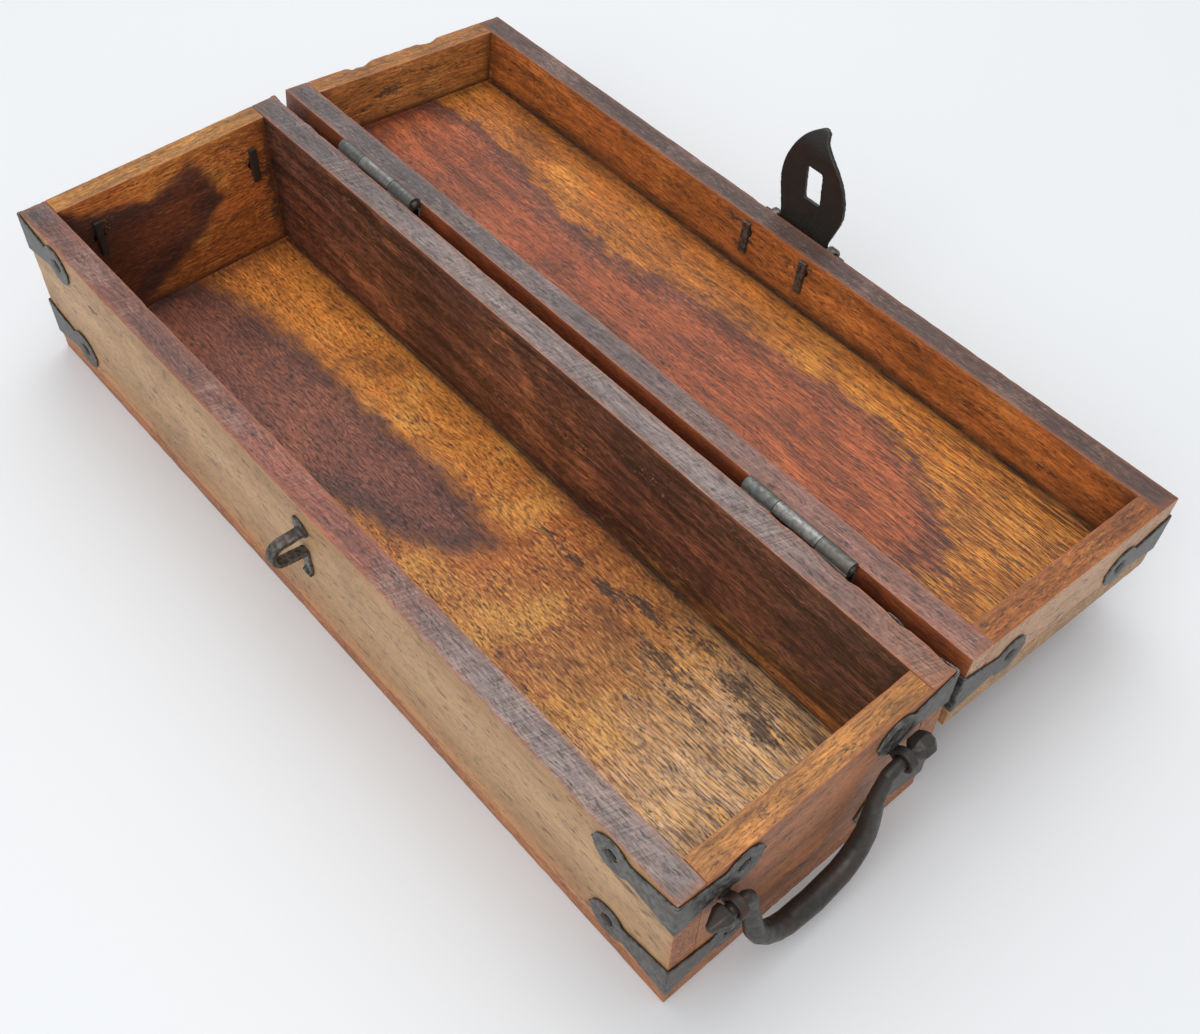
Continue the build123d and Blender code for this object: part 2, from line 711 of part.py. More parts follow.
for side_x, side in ((-1, "left"), (1, "right")):
    handle_plane = Plane(
        origin=(side_x * handle_axis_x, side_x * handle_sideways_offset, handle_axis_z),
        x_dir=(0, side_x, 0),
        z_dir=(-side_x * math.cos(handle_tilt), 0, -math.sin(handle_tilt)),
    )
    with BuildPart() as handle:
        with BuildLine(handle_plane) as bow:
            FilletPolyline(
                (-journal_inner, 0),
                (-handle_bow_top_half_width + handle_bow_shift, 0),
                (-handle_bow_bottom_half_width + handle_bow_shift, handle_drop),
                (handle_bow_bottom_half_width + handle_bow_shift, handle_drop),
                (handle_bow_top_half_width + handle_bow_shift, 0),
                (journal_inner, 0),
                radius=[bow_left_run * turn_share, handle_bow_radius, handle_bow_radius, bow_right_run * turn_share],
            )
        bow_wire = bow.wire()
        for share in section_shares:
            swell = math.sin(math.pi * share) ** 1.4
            spot = bow_wire @ share
            direction = bow_wire % share
            with BuildSketch(Plane(origin=spot, x_dir=handle_plane.z_dir, z_dir=direction)):
                Circle(handle_end_radius + (handle_middle_radius - handle_end_radius) * swell)
        loft(ruled=True)
        for end in (-1, 1):
            journal_plane = placed(handle_plane, (end * journal_inner, 0, 0), (0, 1, 0), (end, 0, 0))
            with BuildSketch(journal_plane):
                Circle(handle_end_radius)
            extrude(amount=knob_start - journal_inner)
        block_plane = placed(handle_plane, (-knob_start, 0, 0), (0, 1, 0), (-1, 0, 0))
        with BuildSketch(block_plane) as block_section:
            Rectangle(handle_block_size, handle_block_size)
            chamfer(block_section.vertices(), handle_block_chamfer)
        extrude(amount=handle_block_length)
        spire_plane = along(block_plane, 0, handle_block_length)
        with BuildSketch(spire_plane) as spire_base:
            Rectangle(handle_block_size, handle_block_size)
            chamfer(spire_base.vertices(), handle_block_chamfer)
        with BuildSketch(along(spire_plane, 0, handle_spire_length)) as spire_tip:
            Rectangle(handle_spire_tip, handle_spire_tip)
            chamfer(spire_tip.vertices(), handle_block_chamfer * handle_spire_tip / handle_block_size)
        loft(ruled=True)
        with Locations(placed(handle_plane, (knob_start, 0, 0), (0, 1, 0), (1, 0, 0)).location):
            add(handle_knob.part)
    save(handle, f"handle_{side}")

# Hasp. In its frame x runs along its pivot bar, y points away from the lid and z rises up the plate.
hasp_frame = placed(lid_frame, (lock_x, hasp_axis_y, hasp_axis_z), (1, 0, 0), (0, 0, 1))
half_hasp = hasp_thickness / 2
curl_start = hasp_tip_rise - hasp_tip_curl_length
curl_turn = math.asin((hasp_tip_curl_length + 1) / (hasp_tip_curl_radius - half_hasp))


def curl_point(radius, turn):
    return (hasp_tip_curl_radius - radius * math.cos(turn), curl_start + radius * math.sin(turn))


with BuildPart() as hasp:
    plate_span = hasp_belly_half_width + 1
    with BuildSketch(placed(hasp_frame, (-plate_span, 0, 0), (0, 1, 0), (1, 0, 0))):
        back_radius = hasp_tip_curl_radius + half_hasp
        front_radius = hasp_tip_curl_radius - half_hasp
        with BuildLine():
            Line((-half_hasp, 0), (-half_hasp, curl_start))
            ThreePointArc(curl_point(back_radius, 0), curl_point(back_radius, curl_turn / 2), curl_point(back_radius, curl_turn))
            Line(curl_point(back_radius, curl_turn), curl_point(front_radius, curl_turn))
            ThreePointArc(
                curl_point(front_radius, curl_turn), curl_point(front_radius, curl_turn / 2), curl_point(front_radius, 0)
            )
            Polyline((half_hasp, curl_start), (half_hasp, 0), (-half_hasp, 0))
        make_face()
    extrude(amount=2 * plate_span)
    outline_plane = placed(hasp_frame, (0, hasp_tip_curl_length, 0), (1, 0, 0), (0, -1, 0))
    shoulder_rise = hasp_tip_rise - hasp_shoulder_drop
    tip_left = (hasp_tip_shift - hasp_tip_half_width, hasp_tip_rise - 1.3)
    tip_right = (hasp_tip_shift + hasp_tip_half_width, hasp_tip_rise - 1.5)
    with BuildSketch(outline_plane):
        with BuildLine():
            Polyline((-hasp_base_half_width, 5), (-hasp_base_half_width, 0), (hasp_base_half_width, 0), (hasp_base_half_width, 5))
            Spline(
                (-hasp_base_half_width, 5),
                (-hasp_belly_half_width, hasp_belly_rise + 3),
                (-hasp_shoulder_half_width, shoulder_rise),
                tip_left,
                tangents=((-0.2, 1), (0.85, 0.5)),
            )
            ThreePointArc(tip_left, (hasp_tip_shift, hasp_tip_rise), tip_right)
            Spline(
                (hasp_base_half_width, 5),
                (hasp_belly_half_width - 0.3, hasp_belly_rise - 4.5),
                (hasp_shoulder_half_width - 1.6, shoulder_rise - 5.6),
                (hasp_tip_shift + 5.2, hasp_tip_rise - 5.4),
                tip_right,
                tangents=((0.3, 1), (-0.3, 1)),
            )
        make_face()
    extrude(amount=2 * hasp_tip_curl_length, mode=Mode.INTERSECT)
    with BuildSketch(outline_plane) as slot:
        half_slot_width = hasp_slot_width / 2
        slot_foot = hasp_slot_rise - hasp_slot_height / 2
        slot_head = hasp_slot_rise + hasp_slot_height / 2
        with BuildLine():
            Polyline(
                (hasp_slot_shift + hasp_slot_slant - half_slot_width, slot_foot),
                (hasp_slot_shift + hasp_slot_slant + half_slot_width, slot_foot),
                (hasp_slot_shift - hasp_slot_slant + half_slot_width, slot_head),
                (hasp_slot_shift - hasp_slot_slant - half_slot_width, slot_head),
                close=True,
            )
        make_face()
        fillet(slot.vertices(), hasp_slot_corner)
    extrude(amount=2 * hasp_tip_curl_length, mode=Mode.SUBTRACT)
    half_bar = hasp_eye_half_span + hasp_bar_overhang
    with BuildSketch(placed(hasp_frame, (-half_bar, 0, 0), (0, 1, 0), (1, 0, 0))):
        Circle(hasp_bar_radius)
    extrude(amount=2 * half_bar)
save(hasp, "hasp")

# Staple
def staple_loop(radius):
    """The loop seen from the side: level above, half round at its end, sloping back to the board below."""
    bend_end = (staple_loop_centre + radius * math.sin(staple_slope), -radius * math.cos(staple_slope))
    half_turn = staple_slope / 2
    with BuildLine(Plane.XY) as loop:
        Polyline(bend_end, (0, -staple_arm_foot(radius)), (0, radius), (staple_loop_centre, radius))
        ThreePointArc(
            (staple_loop_centre, radius),
            (staple_loop_centre + radius * math.cos(half_turn), radius * math.sin(half_turn)),
            bend_end,
        )
    return loop.edges()


with BuildPart() as staple:
    side_plane = placed(staple_face, (staple_bar_width / 2, 0, 0), (0, 0, 1), (-1, 0, 0))
    inner_half_height = staple_half_height - staple_bar_thickness
    with BuildSketch(side_plane):
        make_face(staple_loop(staple_half_height))
        make_face(staple_loop(inner_half_height), mode=Mode.SUBTRACT)
    extrude(amount=staple_bar_width)
    tail_start = staple_arm_foot(inner_half_height)
    tail_end = staple_half_height + staple_tail_drop
    with BuildSketch(side_plane):
        with Locations((0, -tail_start)):
            Rectangle(staple_foot_thickness, tail_end - tail_start, align=(Align.MIN, Align.MAX))
        with Locations((staple_scroll_radius, -tail_end)):
            Circle(staple_scroll_radius)
    extrude(amount=staple_bar_width)
    with BuildSketch(staple_face):
        leaf_base = (staple_bar_width / 2, inner_half_height)
        leaf_side = (staple_leaf_width / 2, staple_half_height + 0.4)
        leaf_tip = (-staple_leaf_lean, staple_half_height + staple_leaf_rise)
        with BuildLine():
            Line((-leaf_base[0], leaf_base[1]), leaf_base)
            ThreePointArc(leaf_base, (leaf_side[0] - 0.4, leaf_side[1] - 1.4), leaf_side)
            Spline(leaf_side, (staple_leaf_width / 4, staple_half_height + staple_leaf_rise * 0.72), leaf_tip)
            Spline(leaf_tip, (-leaf_side[0] + 0.3, staple_half_height + staple_leaf_rise * 0.6), (-leaf_side[0], leaf_side[1]))
            ThreePointArc((-leaf_side[0], leaf_side[1]), (0.4 - leaf_side[0], leaf_side[1] - 1.4), (-leaf_base[0], leaf_base[1]))
        make_face()
    extrude(amount=staple_foot_thickness)
    for tang_plane in staple_tang_planes:
        with BuildSketch(tang_plane):
            Rectangle(staple_tang_width, staple_tang_thickness)
        extrude(amount=staple_tang_length, taper=staple_tang_taper)
save(staple, "staple")
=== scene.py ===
import json
import math

import bpy
import bmesh
from mathutils import Matrix, Vector, noise


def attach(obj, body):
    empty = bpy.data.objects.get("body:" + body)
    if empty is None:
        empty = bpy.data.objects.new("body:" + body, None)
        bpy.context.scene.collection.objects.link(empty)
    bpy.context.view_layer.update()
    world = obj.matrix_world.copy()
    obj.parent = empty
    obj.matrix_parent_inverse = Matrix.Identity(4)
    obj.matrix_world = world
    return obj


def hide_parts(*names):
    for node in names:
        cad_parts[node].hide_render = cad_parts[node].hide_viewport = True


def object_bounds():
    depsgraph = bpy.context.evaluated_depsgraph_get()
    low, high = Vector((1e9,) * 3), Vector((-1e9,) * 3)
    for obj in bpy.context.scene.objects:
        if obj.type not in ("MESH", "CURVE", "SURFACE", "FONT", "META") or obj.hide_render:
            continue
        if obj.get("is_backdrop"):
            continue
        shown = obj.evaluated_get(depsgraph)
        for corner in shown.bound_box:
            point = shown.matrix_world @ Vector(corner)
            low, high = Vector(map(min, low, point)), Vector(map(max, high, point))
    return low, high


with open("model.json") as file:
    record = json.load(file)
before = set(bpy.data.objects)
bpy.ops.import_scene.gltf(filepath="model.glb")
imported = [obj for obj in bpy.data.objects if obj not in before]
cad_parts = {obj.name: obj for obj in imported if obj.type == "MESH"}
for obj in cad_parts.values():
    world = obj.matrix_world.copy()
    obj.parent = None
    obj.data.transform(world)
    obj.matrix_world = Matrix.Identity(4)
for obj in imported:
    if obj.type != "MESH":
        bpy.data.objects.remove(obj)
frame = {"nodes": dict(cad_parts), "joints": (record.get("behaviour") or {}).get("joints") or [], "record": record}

bl_info = {
    "name": "Iron-bound rosewood box",
    "version": (1, 0, 0),
    "blender": (4, 5, 0),
    "location": "3D View > Sidebar > Box",
    "description": "Worn boards, forged ironwork and a plain stage around the packed box",
    "category": "Add Mesh",
}

MM = 0.001
CAD_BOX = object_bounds()
JOINTS = {joint["name"]: joint for joint in frame["joints"]}

# The lid is packed thrown back. Its own coordinates start on the hinge axis, with z out of its mouth.
LID_LEAN = math.radians(6)
LID_ORIGIN = Vector(JOINTS["lid_hinge"]["pos_m"])
LID_PLACE = Matrix.Translation(LID_ORIGIN) @ Matrix.Rotation(-LID_LEAN, 4, "X")
STRAIGHT = Matrix.Identity(4)

# The inside corners of each half, in millimetres of its own coordinates: lowest and highest
BODY_CAVITY = (Vector((-192.5, -51.5, 8.5)), Vector((192.5, 51.5, 90)))
LID_CAVITY = (Vector((-193.5, 15.4, -26.7)), Vector((193.5, 116.4, 10)))


def linear(hex_colour):
    """An sRGB hex colour as linear red, green and blue."""
    parts = [int(hex_colour[at : at + 2], 16) / 255 for at in (1, 3, 5)]
    return tuple(c / 12.92 if c <= 0.04045 else ((c + 0.055) / 1.055) ** 2.4 for c in parts)


TONES = {
    "gold_light": ("Golden sapwood, light", "#FFBC5A"),
    "gold_mid": ("Golden sapwood", "#DE8630"),
    "gold_dark": ("Golden sapwood, dark", "#5E3218"),
    "ochre_light": ("Ochre sapwood, light", "#E2AC60"),
    "ochre_mid": ("Ochre sapwood", "#B4743A"),
    "ochre_dark": ("Ochre sapwood, dark", "#643B22"),
    "straw_mid": ("Dry sapwood", "#F2CCA2"),
    "copper": ("Copper brown sapwood", "#BE6A30"),
    "lid_gold_light": ("Lid sapwood, light", "#E0993A"),
    "lid_gold_mid": ("Lid sapwood", "#B2661F"),
    "lid_gold_dark": ("Lid sapwood, dark", "#553014"),
    "heart_light": ("Heartwood, light", "#C4754E"),
    "heart_mid": ("Heartwood", "#88503F"),
    "heart_dark": ("Heartwood, dark", "#4E362E"),
    "inner_light": ("Heart of the left end, light", "#A85A34"),
    "inner_mid": ("Heart of the left end", "#66361F"),
    "inner_dark": ("Heart of the left end, dark", "#34221C"),
    "heart_edge": ("Line between heart and sap", "#382C2C"),
    "red_light": ("Red heartwood, light", "#CC6E36"),
    "red_mid": ("Red heartwood", "#994C28"),
    "red_dark": ("Red heartwood, dark", "#54301F"),
    "wall_light": ("Inside wall, light", "#B47048"),
    "wall_mid": ("Inside wall", "#6F4333"),
    "wall_dark": ("Inside wall, dark", "#382520"),
    "amber_light": ("Amber wood, light", "#DC8E44"),
    "amber_mid": ("Amber wood", "#A8602C"),
    "amber_dark": ("Amber wood, dark", "#56301C"),
    "honey_light": ("Honey rim, light", "#C8883C"),
    "honey_mid": ("Honey rim", "#9C6723"),
    "honey_dark": ("Honey rim, dark", "#603C1C"),
    "honey_deep": ("Honey rim, deep", "#925B1A"),
    "honey_bright": ("Honey rim, bright", "#AC7032"),
    "toffee_light": ("Toffee rim, light", "#BA7836"),
    "toffee_mid": ("Toffee rim", "#894C1B"),
    "toffee_dark": ("Toffee rim, dark", "#4A2A16"),
    "dust_light": ("Dusty outside, light", "#BC966D"),
    "dust_mid": ("Dusty outside", "#A78055"),
    "dust_dark": ("Dusty outside, dark", "#80603E"),
    "warm_light": ("Handled outside, light", "#C08452"),
    "warm_mid": ("Handled outside", "#A5663B"),
    "warm_dark": ("Handled outside, dark", "#633C24"),
    "pink_light": ("Lid outside, light", "#D8B495"),
    "pink_mid": ("Lid outside", "#C09673"),
    "pink_dark": ("Lid outside, dark", "#977256"),
    # The back-face tones are darker than the handled outside tones: painted shade of the narrow gap between lid
    # and body
    "gap_light": ("Back face, light", "#A0552E"),
    "gap_mid": ("Back face", "#7C3E20"),
    "gap_dark": ("Back face, dark", "#482517"),
    # The rim greys, lightest in ash, are partly a painted sheen: the rims' glossy reflection of the room put into
    # their colour
    "rim_light": ("Rim, light", "#A08074"),
    "rim_mid": ("Rim", "#7A6059"),
    "rim_dark": ("Rim, dark", "#463836"),
    "slate": ("Rim, slate", "#635958"),
    "plum": ("Rim, plum", "#725A54"),
    "brick": ("Rim, brick", "#8C4D3A"),
    "russet": ("Rim, russet", "#8F6146"),
    "graphite": ("Rim, graphite", "#544C4B"),
    "ash": ("Rim, ash", "#7F706B"),
    "rosy": ("Rim, rosy", "#885C4E"),
    "maroon": ("Rim, maroon", "#70453A"),
    "cocoa": ("Rim, cocoa", "#4E3830"),
    "umber": ("Rim, umber", "#523528"),
    "wall_top": ("Inside wall, greyed", "#5E4034"),
    "arris": ("Rubbed arris", "#B4693C"),
    "stain": ("Ink and iron stain", "#332C2C"),
    # This dark colour is old wax in pores, crushed spots and iron hollows, and painted shade in the boards' inside
    # corners
    "grime_and_shade": ("Old wax and dirt", "#1E1511"),
    "raw": ("Freshly split wood", "#D9B98C"),
    "scuff": ("Pale scuffs", "#BFAE9C"),
    "strap": ("Strap iron", "#70706C"),
    "strap_dark": ("Strap iron, dark", "#3C3A38"),
    "rust": ("Rust bloom", "#54392B"),
    "black_iron": ("Black iron", "#3A3836"),
    "brown_iron": ("Brown iron", "#443E39"),
    "steel": ("Rubbed steel", "#8E8C88"),
    "floor": ("Floor", "#DCDDDE"),
}


class ChestColours(bpy.types.PropertyGroup):
    """The colours of the woods, the iron and the floor."""

    __annotations__ = {
        key: bpy.props.FloatVectorProperty(
            name=label,
            description=f"{label}, as a linear colour",
            size=3,
            subtype="COLOR",
            default=linear(hex_colour),
        )
        for key, (label, hex_colour) in TONES.items()
    }


class ChestSizes(bpy.types.PropertyGroup):
    """The sizes that set how worn the box is and how finely it is modelled."""

    arris: bpy.props.FloatProperty(
        name="Arris",
        description="Width of the broken edge on every board",
        default=0.45 * MM,
        unit="LENGTH",
        precision=5,
    )
    cell: bpy.props.FloatProperty(
        name="Board mesh",
        description="Spacing of the mesh on a board",
        default=2.0 * MM,
        unit="LENGTH",
        precision=5,
    )
    wear: bpy.props.FloatProperty(
        name="Edge wear",
        description="Depth of the dents along the boards' edges",
        default=0.45 * MM,
        unit="LENGTH",
        precision=5,
    )
    ripple: bpy.props.FloatProperty(
        name="Unevenness",
        description="How far a planed face dips",
        default=0.16 * MM,
        unit="LENGTH",
        precision=5,
    )
    hammer: bpy.props.FloatProperty(
        name="Hammer marks",
        description="Depth of the hammer marks in the iron",
        default=0.22 * MM,
        unit="LENGTH",
        precision=5,
    )


def tone(key):
    return (*getattr(bpy.context.scene.chest_colours, key), 1.0)


# Materials


# Settings that many nodes share
SOFT = {"interpolation_type": "SMOOTHSTEP"}
TIMES = {"operation": "MULTIPLY"}
PLUS = {"operation": "ADD"}
TIMES_PLUS = {"operation": "MULTIPLY_ADD"}

# The patterns of the wood: width across the grain in millimetres, and how many times longer along it.
# Real pores and saw marks are finer than these. They are drawn coarser, because finer ones would not show.
BAND_STRETCH = 11.0
FIBRE = (0.7, 24.0)
PORE = (0.5, 6.0)
FLECK = (0.9, 4.0)
RAGGED_EDGE = (4.0, 2.5)
RIDGE = (0.75, 26.0)
SAW_MARK = (0.6, 30.0)

# Scales of the patterns without a grain, per millimetre, then the grain's wandering and the saw's lean
DRIFT_SCALE = 0.022
CLOUD_SCALE = 0.028
CRUMB_SCALE = 0.7
GRIT_SCALE = 2.2
BLOOM_SCALE = 0.09
WANDER = 6.0
SAW_LEAN = 0.35

# The levels of a noise between which a pore sinks in, and the depths that a bump may reach
PORE_LEVELS = (0.6, 0.7)
WOOD_BUMP = 0.3 * MM
IRON_BUMP = 0.12 * MM


def put(tree, kind, sockets=(), out=None, stops=(), **settings):
    """Adds one node, sets or links its sockets, and returns one of its outputs."""
    made = tree.nodes.new("ShaderNode" + kind)
    for key, value in settings.items():
        setattr(made, key, value)
    for at, (position, colour) in enumerate(stops):
        ramp = made.color_ramp.elements
        stop = ramp[at] if at < 2 else ramp.new(position)
        stop.position, stop.color = position, colour
    for key, value in sockets.items() if isinstance(sockets, dict) else enumerate(sockets):
        if isinstance(key, int):
            socket = made.inputs[key]
        else:
            socket = next(s for s in made.inputs if s.enabled and s.name == key)
        if isinstance(value, bpy.types.NodeSocket):
            tree.links.new(value, socket)
        else:
            socket.default_value = value[:3] if socket.type == "VECTOR" else value
    return made.outputs[out] if out else next(s for s in made.outputs if s.enabled)


def start_material(name, lid):
    """An empty material, its shader, and the place in millimetres of the body's or the lid's own axes."""
    material = bpy.data.materials.new(name)
    material.use_nodes = True
    tree = material.node_tree
    shader = next(n for n in tree.nodes if n.type == "BSDF_PRINCIPLED")
    turn = Matrix.Rotation(LID_LEAN, 3, "X")
    move = {
        "Vector": put(tree, "TexCoord", out="Object"),
        "Location": -(turn @ (LID_ORIGIN / MM)) if lid else (0, 0, 0),
        "Rotation": (LID_LEAN if lid else 0, 0, 0),
        "Scale": (1 / MM,) * 3,
    }
    return material, tree, shader, put(tree, "Mapping", move)


def swirl(tree, place, grain, reach):
    """The place, bent by slow noise so that the grain wanders."""
    drift = put(tree, "TexNoise", {"Vector": place, "Scale": DRIFT_SCALE, "Detail": 2.0}, out="Color")
    drift = put(tree, "VectorMath", (drift, (0.5, 0.5, 0.5)), operation="SUBTRACT")
    drift = put(tree, "VectorMath", (drift, [reach * (3 if axis == grain else 1) for axis in "XYZ"]), **TIMES)
    return put(tree, "VectorMath", (place, drift), **PLUS)


def streaks(tree, space, grain, width, stretch, detail=2.0, roughness=0.5, seed=0.0):
    """Noise drawn out along the grain: width is the size across it in millimetres."""
    move = {
        "Vector": space,
        "Scale": [1 / width / (stretch if axis == grain else 1) for axis in "XYZ"],
        "Location": (seed, seed * 0.7, seed * 1.3),
    }
    look = {"Vector": put(tree, "Mapping", move), "Scale": 1.0, "Detail": detail, "Roughness": roughness}
    return put(tree, "TexNoise", look)


def laid_over(tree, below, above, pattern, low, high, share=1.0, within=1.0):
    """A colour over another where a pattern passes between two levels, no stronger than its share."""
    amount = put(tree, "MapRange", (pattern, low, high, 0.0, share), **SOFT)
    amount = put(tree, "Math", (amount, within), **TIMES)
    return put(tree, "Mix", {"Factor": amount, "A": below, "B": above}, data_type="RGBA")


def wood(
    name,
    tones,
    grain="X",
    lid=False,
    zones=None,
    heart=None,
    ragged=4.0,
    soft=4.0,
    figure=9.0,
    contrast=0.25,
    patches=0.3,
    fleck=0.5,
    glint=0.4,
    fibre=0.32,
    pores=0.4,
    ridges=None,
    saw=0.0,
    scuffs=0.2,
    gloss=0.45,
    relief=0.5,
    seed=0.0,
):
    """Oiled rosewood, sawn and planed by hand: growth bands, dark flecks with painted glints among them, short
    pores along the grain, a heart with a ragged dark line round it, stains, old wax and painted shade in the
    corners, and rubbed arrises. Sizes are in millimetres. Other limits are levels of a noise, mostly between
    0.3 and 0.7, or shares from 0 to 1."""
    material, tree, shader, place = start_material(name, lid)
    shades = {shade: tone(f"{tones}_{shade}") for shade in ("dark", "mid", "light")}

    # The patterns. Each has its own seed, so that no two lie alike.
    space = swirl(tree, place, grain, WANDER)
    bands = streaks(tree, space, grain, figure, BAND_STRETCH, 5.0, 0.6, seed)
    fibres = streaks(tree, space, grain, *FIBRE, 3.0, 0.6, seed + 3)
    pore_lines = streaks(tree, space, grain, *PORE, 1.0, 0.5, seed + 7)
    speckle = streaks(tree, space, grain, *FLECK, 5.0, 0.72, seed + 11)
    rough_edge = streaks(tree, space, grain, *RAGGED_EDGE, 5.0, 0.7, seed + 17)
    cloud = put(tree, "TexNoise", {"Vector": place, "Scale": CLOUD_SCALE, "Detail": 4.0, "Roughness": 0.6})

    # Zones of different wood along one axis, with ragged borders
    if zones:
        axis, stops = zones
        first, last = stops[0][0], stops[-1][0]
        reach = (last - first) * 0.09
        spot = put(tree, "SeparateXYZ", (place,), out=axis)
        shift = put(tree, "MapRange", (rough_edge, 0.0, 1.0, -reach, reach))
        spot = put(tree, "Math", (spot, shift), **PLUS)
        spread = [((at - first) / (last - first), tone(key)) for at, key in stops]
        shades["mid"] = put(tree, "ValToRGB", (put(tree, "MapRange", (spot, first, last)),), stops=spread)

    # The heart, from the depth inside its outline that the mesh carries, and the dark line round it
    calm = 1.0
    if heart:
        level = put(tree, "Attribute", attribute_name="heart", out="Fac")
        shift = put(tree, "MapRange", (rough_edge, 0.3, 0.7, -ragged, ragged))
        level = put(tree, "Math", (level, shift), **PLUS)
        shift = put(tree, "MapRange", (speckle, 0.35, 0.65, soft, -soft))
        level = put(tree, "Math", (level, shift), **PLUS)
        for shade, below in shades.items():
            shades[shade] = laid_over(tree, below, tone(f"{heart}_{shade}"), level, -soft, soft)
        within = put(tree, "MapRange", (level, -2 * soft, soft), **SOFT)
        shades["mid"] = laid_over(tree, shades["mid"], tone("heart_edge"), level, 16.0, 2.0, 0.7, within)
        calm = put(tree, "MapRange", (level, -soft, soft, 1.0, 0.75), **SOFT)

    # Darker and lighter patches, growth bands, dark flecks, and painted glints: light flecks in the colour
    # standing for highlights
    for shade, low, high in (("dark", 0.48, 0.34), ("light", 0.52, 0.68)):
        shades["mid"] = laid_over(tree, shades["mid"], shades[shade], cloud, low, high, patches, calm)
    shade = put(tree, "MapRange", (bands, 0.32, 0.68, 1 - contrast, 1 + contrast), **SOFT)
    colour = put(tree, "VectorMath", {0: shades["mid"], "Scale": shade}, operation="SCALE")
    colour = laid_over(tree, colour, shades["dark"], speckle, 0.51, 0.59, fleck, calm)
    lively = put(tree, "MapRange", (cloud, 0.32, 0.6, 0.35, 1.0), **SOFT)
    lively = put(tree, "Math", (lively, calm), **TIMES)
    colour = laid_over(tree, colour, shades["light"], speckle, 0.47, 0.38, glint, lively)
    height = put(tree, "Math", (speckle, -1.2, fibres), **TIMES_PLUS)

    # Ridges, where the plane has lifted the grain, with dark lines and painted glints along them
    if ridges:
        axis, start, end, strength = ridges
        lines = streaks(tree, space, grain, *RIDGE, 2.0, 0.5, seed + 23)
        along = put(tree, "SeparateXYZ", (place,), out=axis)
        there = put(tree, "MapRange", (along, start, end, 0.0, strength), **SOFT)
        colour = laid_over(tree, colour, shades["dark"], lines, 0.5, 0.6, 1.0, there)
        colour = laid_over(tree, colour, shades["light"], lines, 0.48, 0.4, 1.0, there)
        lines = put(tree, "Math", (lines, there), **TIMES)
        height = put(tree, "Math", (lines, -3.0, height), **TIMES_PLUS)

    # Fibres and pores
    shade = put(tree, "MapRange", (fibres, 0.3, 0.7, 1 - fibre, 1 + fibre), **SOFT)
    colour = put(tree, "VectorMath", {0: colour, "Scale": shade}, operation="SCALE")
    colour = laid_over(tree, colour, tone("grime_and_shade"), pore_lines, *PORE_LEVELS, pores)
    sunk = put(tree, "MapRange", (pore_lines, *PORE_LEVELS), **SOFT)
    height = put(tree, "Math", (height, sunk), operation="SUBTRACT")

    # The saw's marks, leaning across the grain
    if saw:
        tilted = put(tree, "Mapping", {"Vector": place, "Rotation": (0, 0, SAW_LEAN)})
        marks = streaks(tree, tilted, "Y" if grain == "X" else "X", *SAW_MARK)
        there = put(tree, "MapRange", (cloud, 0.4, 0.6, saw / 4, saw), **SOFT)
        colour = laid_over(tree, colour, tone("scuff"), marks, 0.54, 0.68, 0.22, there)
        colour = laid_over(tree, colour, shades["dark"], marks, 0.48, 0.36, 0.5, there)
        marks = put(tree, "Math", (marks, there), **TIMES)
        height = put(tree, "Math", (marks, 3.0, height), **TIMES_PLUS)

    # Pale scuffs, then crushed and split spots
    there = put(tree, "MapRange", (cloud, 0.54, 0.7), **SOFT)
    colour = laid_over(tree, colour, tone("scuff"), speckle, 0.42, 0.3, scuffs, there)
    battered = put(tree, "Attribute", attribute_name="scars", out="Fac")
    crumbs = put(tree, "TexNoise", {"Vector": place, "Scale": CRUMB_SCALE, "Detail": 3.0, "Roughness": 0.6})
    colour = laid_over(tree, colour, tone("grime_and_shade"), crumbs, 0.43, 0.36, 0.7, battered)
    colour = laid_over(tree, colour, tone("raw"), crumbs, 0.6, 0.68, 0.7, battered)
    torn = put(tree, "Math", (battered, crumbs), **TIMES)
    height = put(tree, "Math", (torn, 3.0, height), **TIMES_PLUS)

    # Ink and iron stains with broken edges, old wax and painted shade darkening the corners, and arrises rubbed
    # bare
    blot = put(tree, "Attribute", attribute_name="stain", out="Fac")
    for spread in (rough_edge, speckle):
        blot = put(tree, "Math", (blot, put(tree, "MapRange", (spread, 0.3, 0.7, -0.55, 0.55))), **PLUS)
    colour = laid_over(tree, colour, tone("stain"), blot, 0.15, 0.75, 0.8)
    # Painted shade: the inside corners where boards meet are darkened, along with their old wax
    shade_and_dirt = put(tree, "Attribute", attribute_name="grime_and_shade", out="Fac")
    colour = laid_over(tree, colour, tone("grime_and_shade"), cloud, 0.25, 0.5, 1.0, shade_and_dirt)
    rubbed = put(tree, "Attribute", attribute_name="rub", out="Fac")
    colour = laid_over(tree, colour, tone("arris"), speckle, 0.36, 0.6, 0.75, rubbed)

    tree.links.new(colour, shader.inputs["Base Color"])
    rough = put(tree, "MapRange", (speckle, 0.3, 0.7, gloss - 0.06, gloss + 0.14), **SOFT)
    tree.links.new(rough, shader.inputs["Roughness"])
    bump = put(tree, "Bump", {"Height": height, "Strength": relief, "Distance": WOOD_BUMP})
    tree.links.new(bump, shader.inputs["Normal"])
    return material


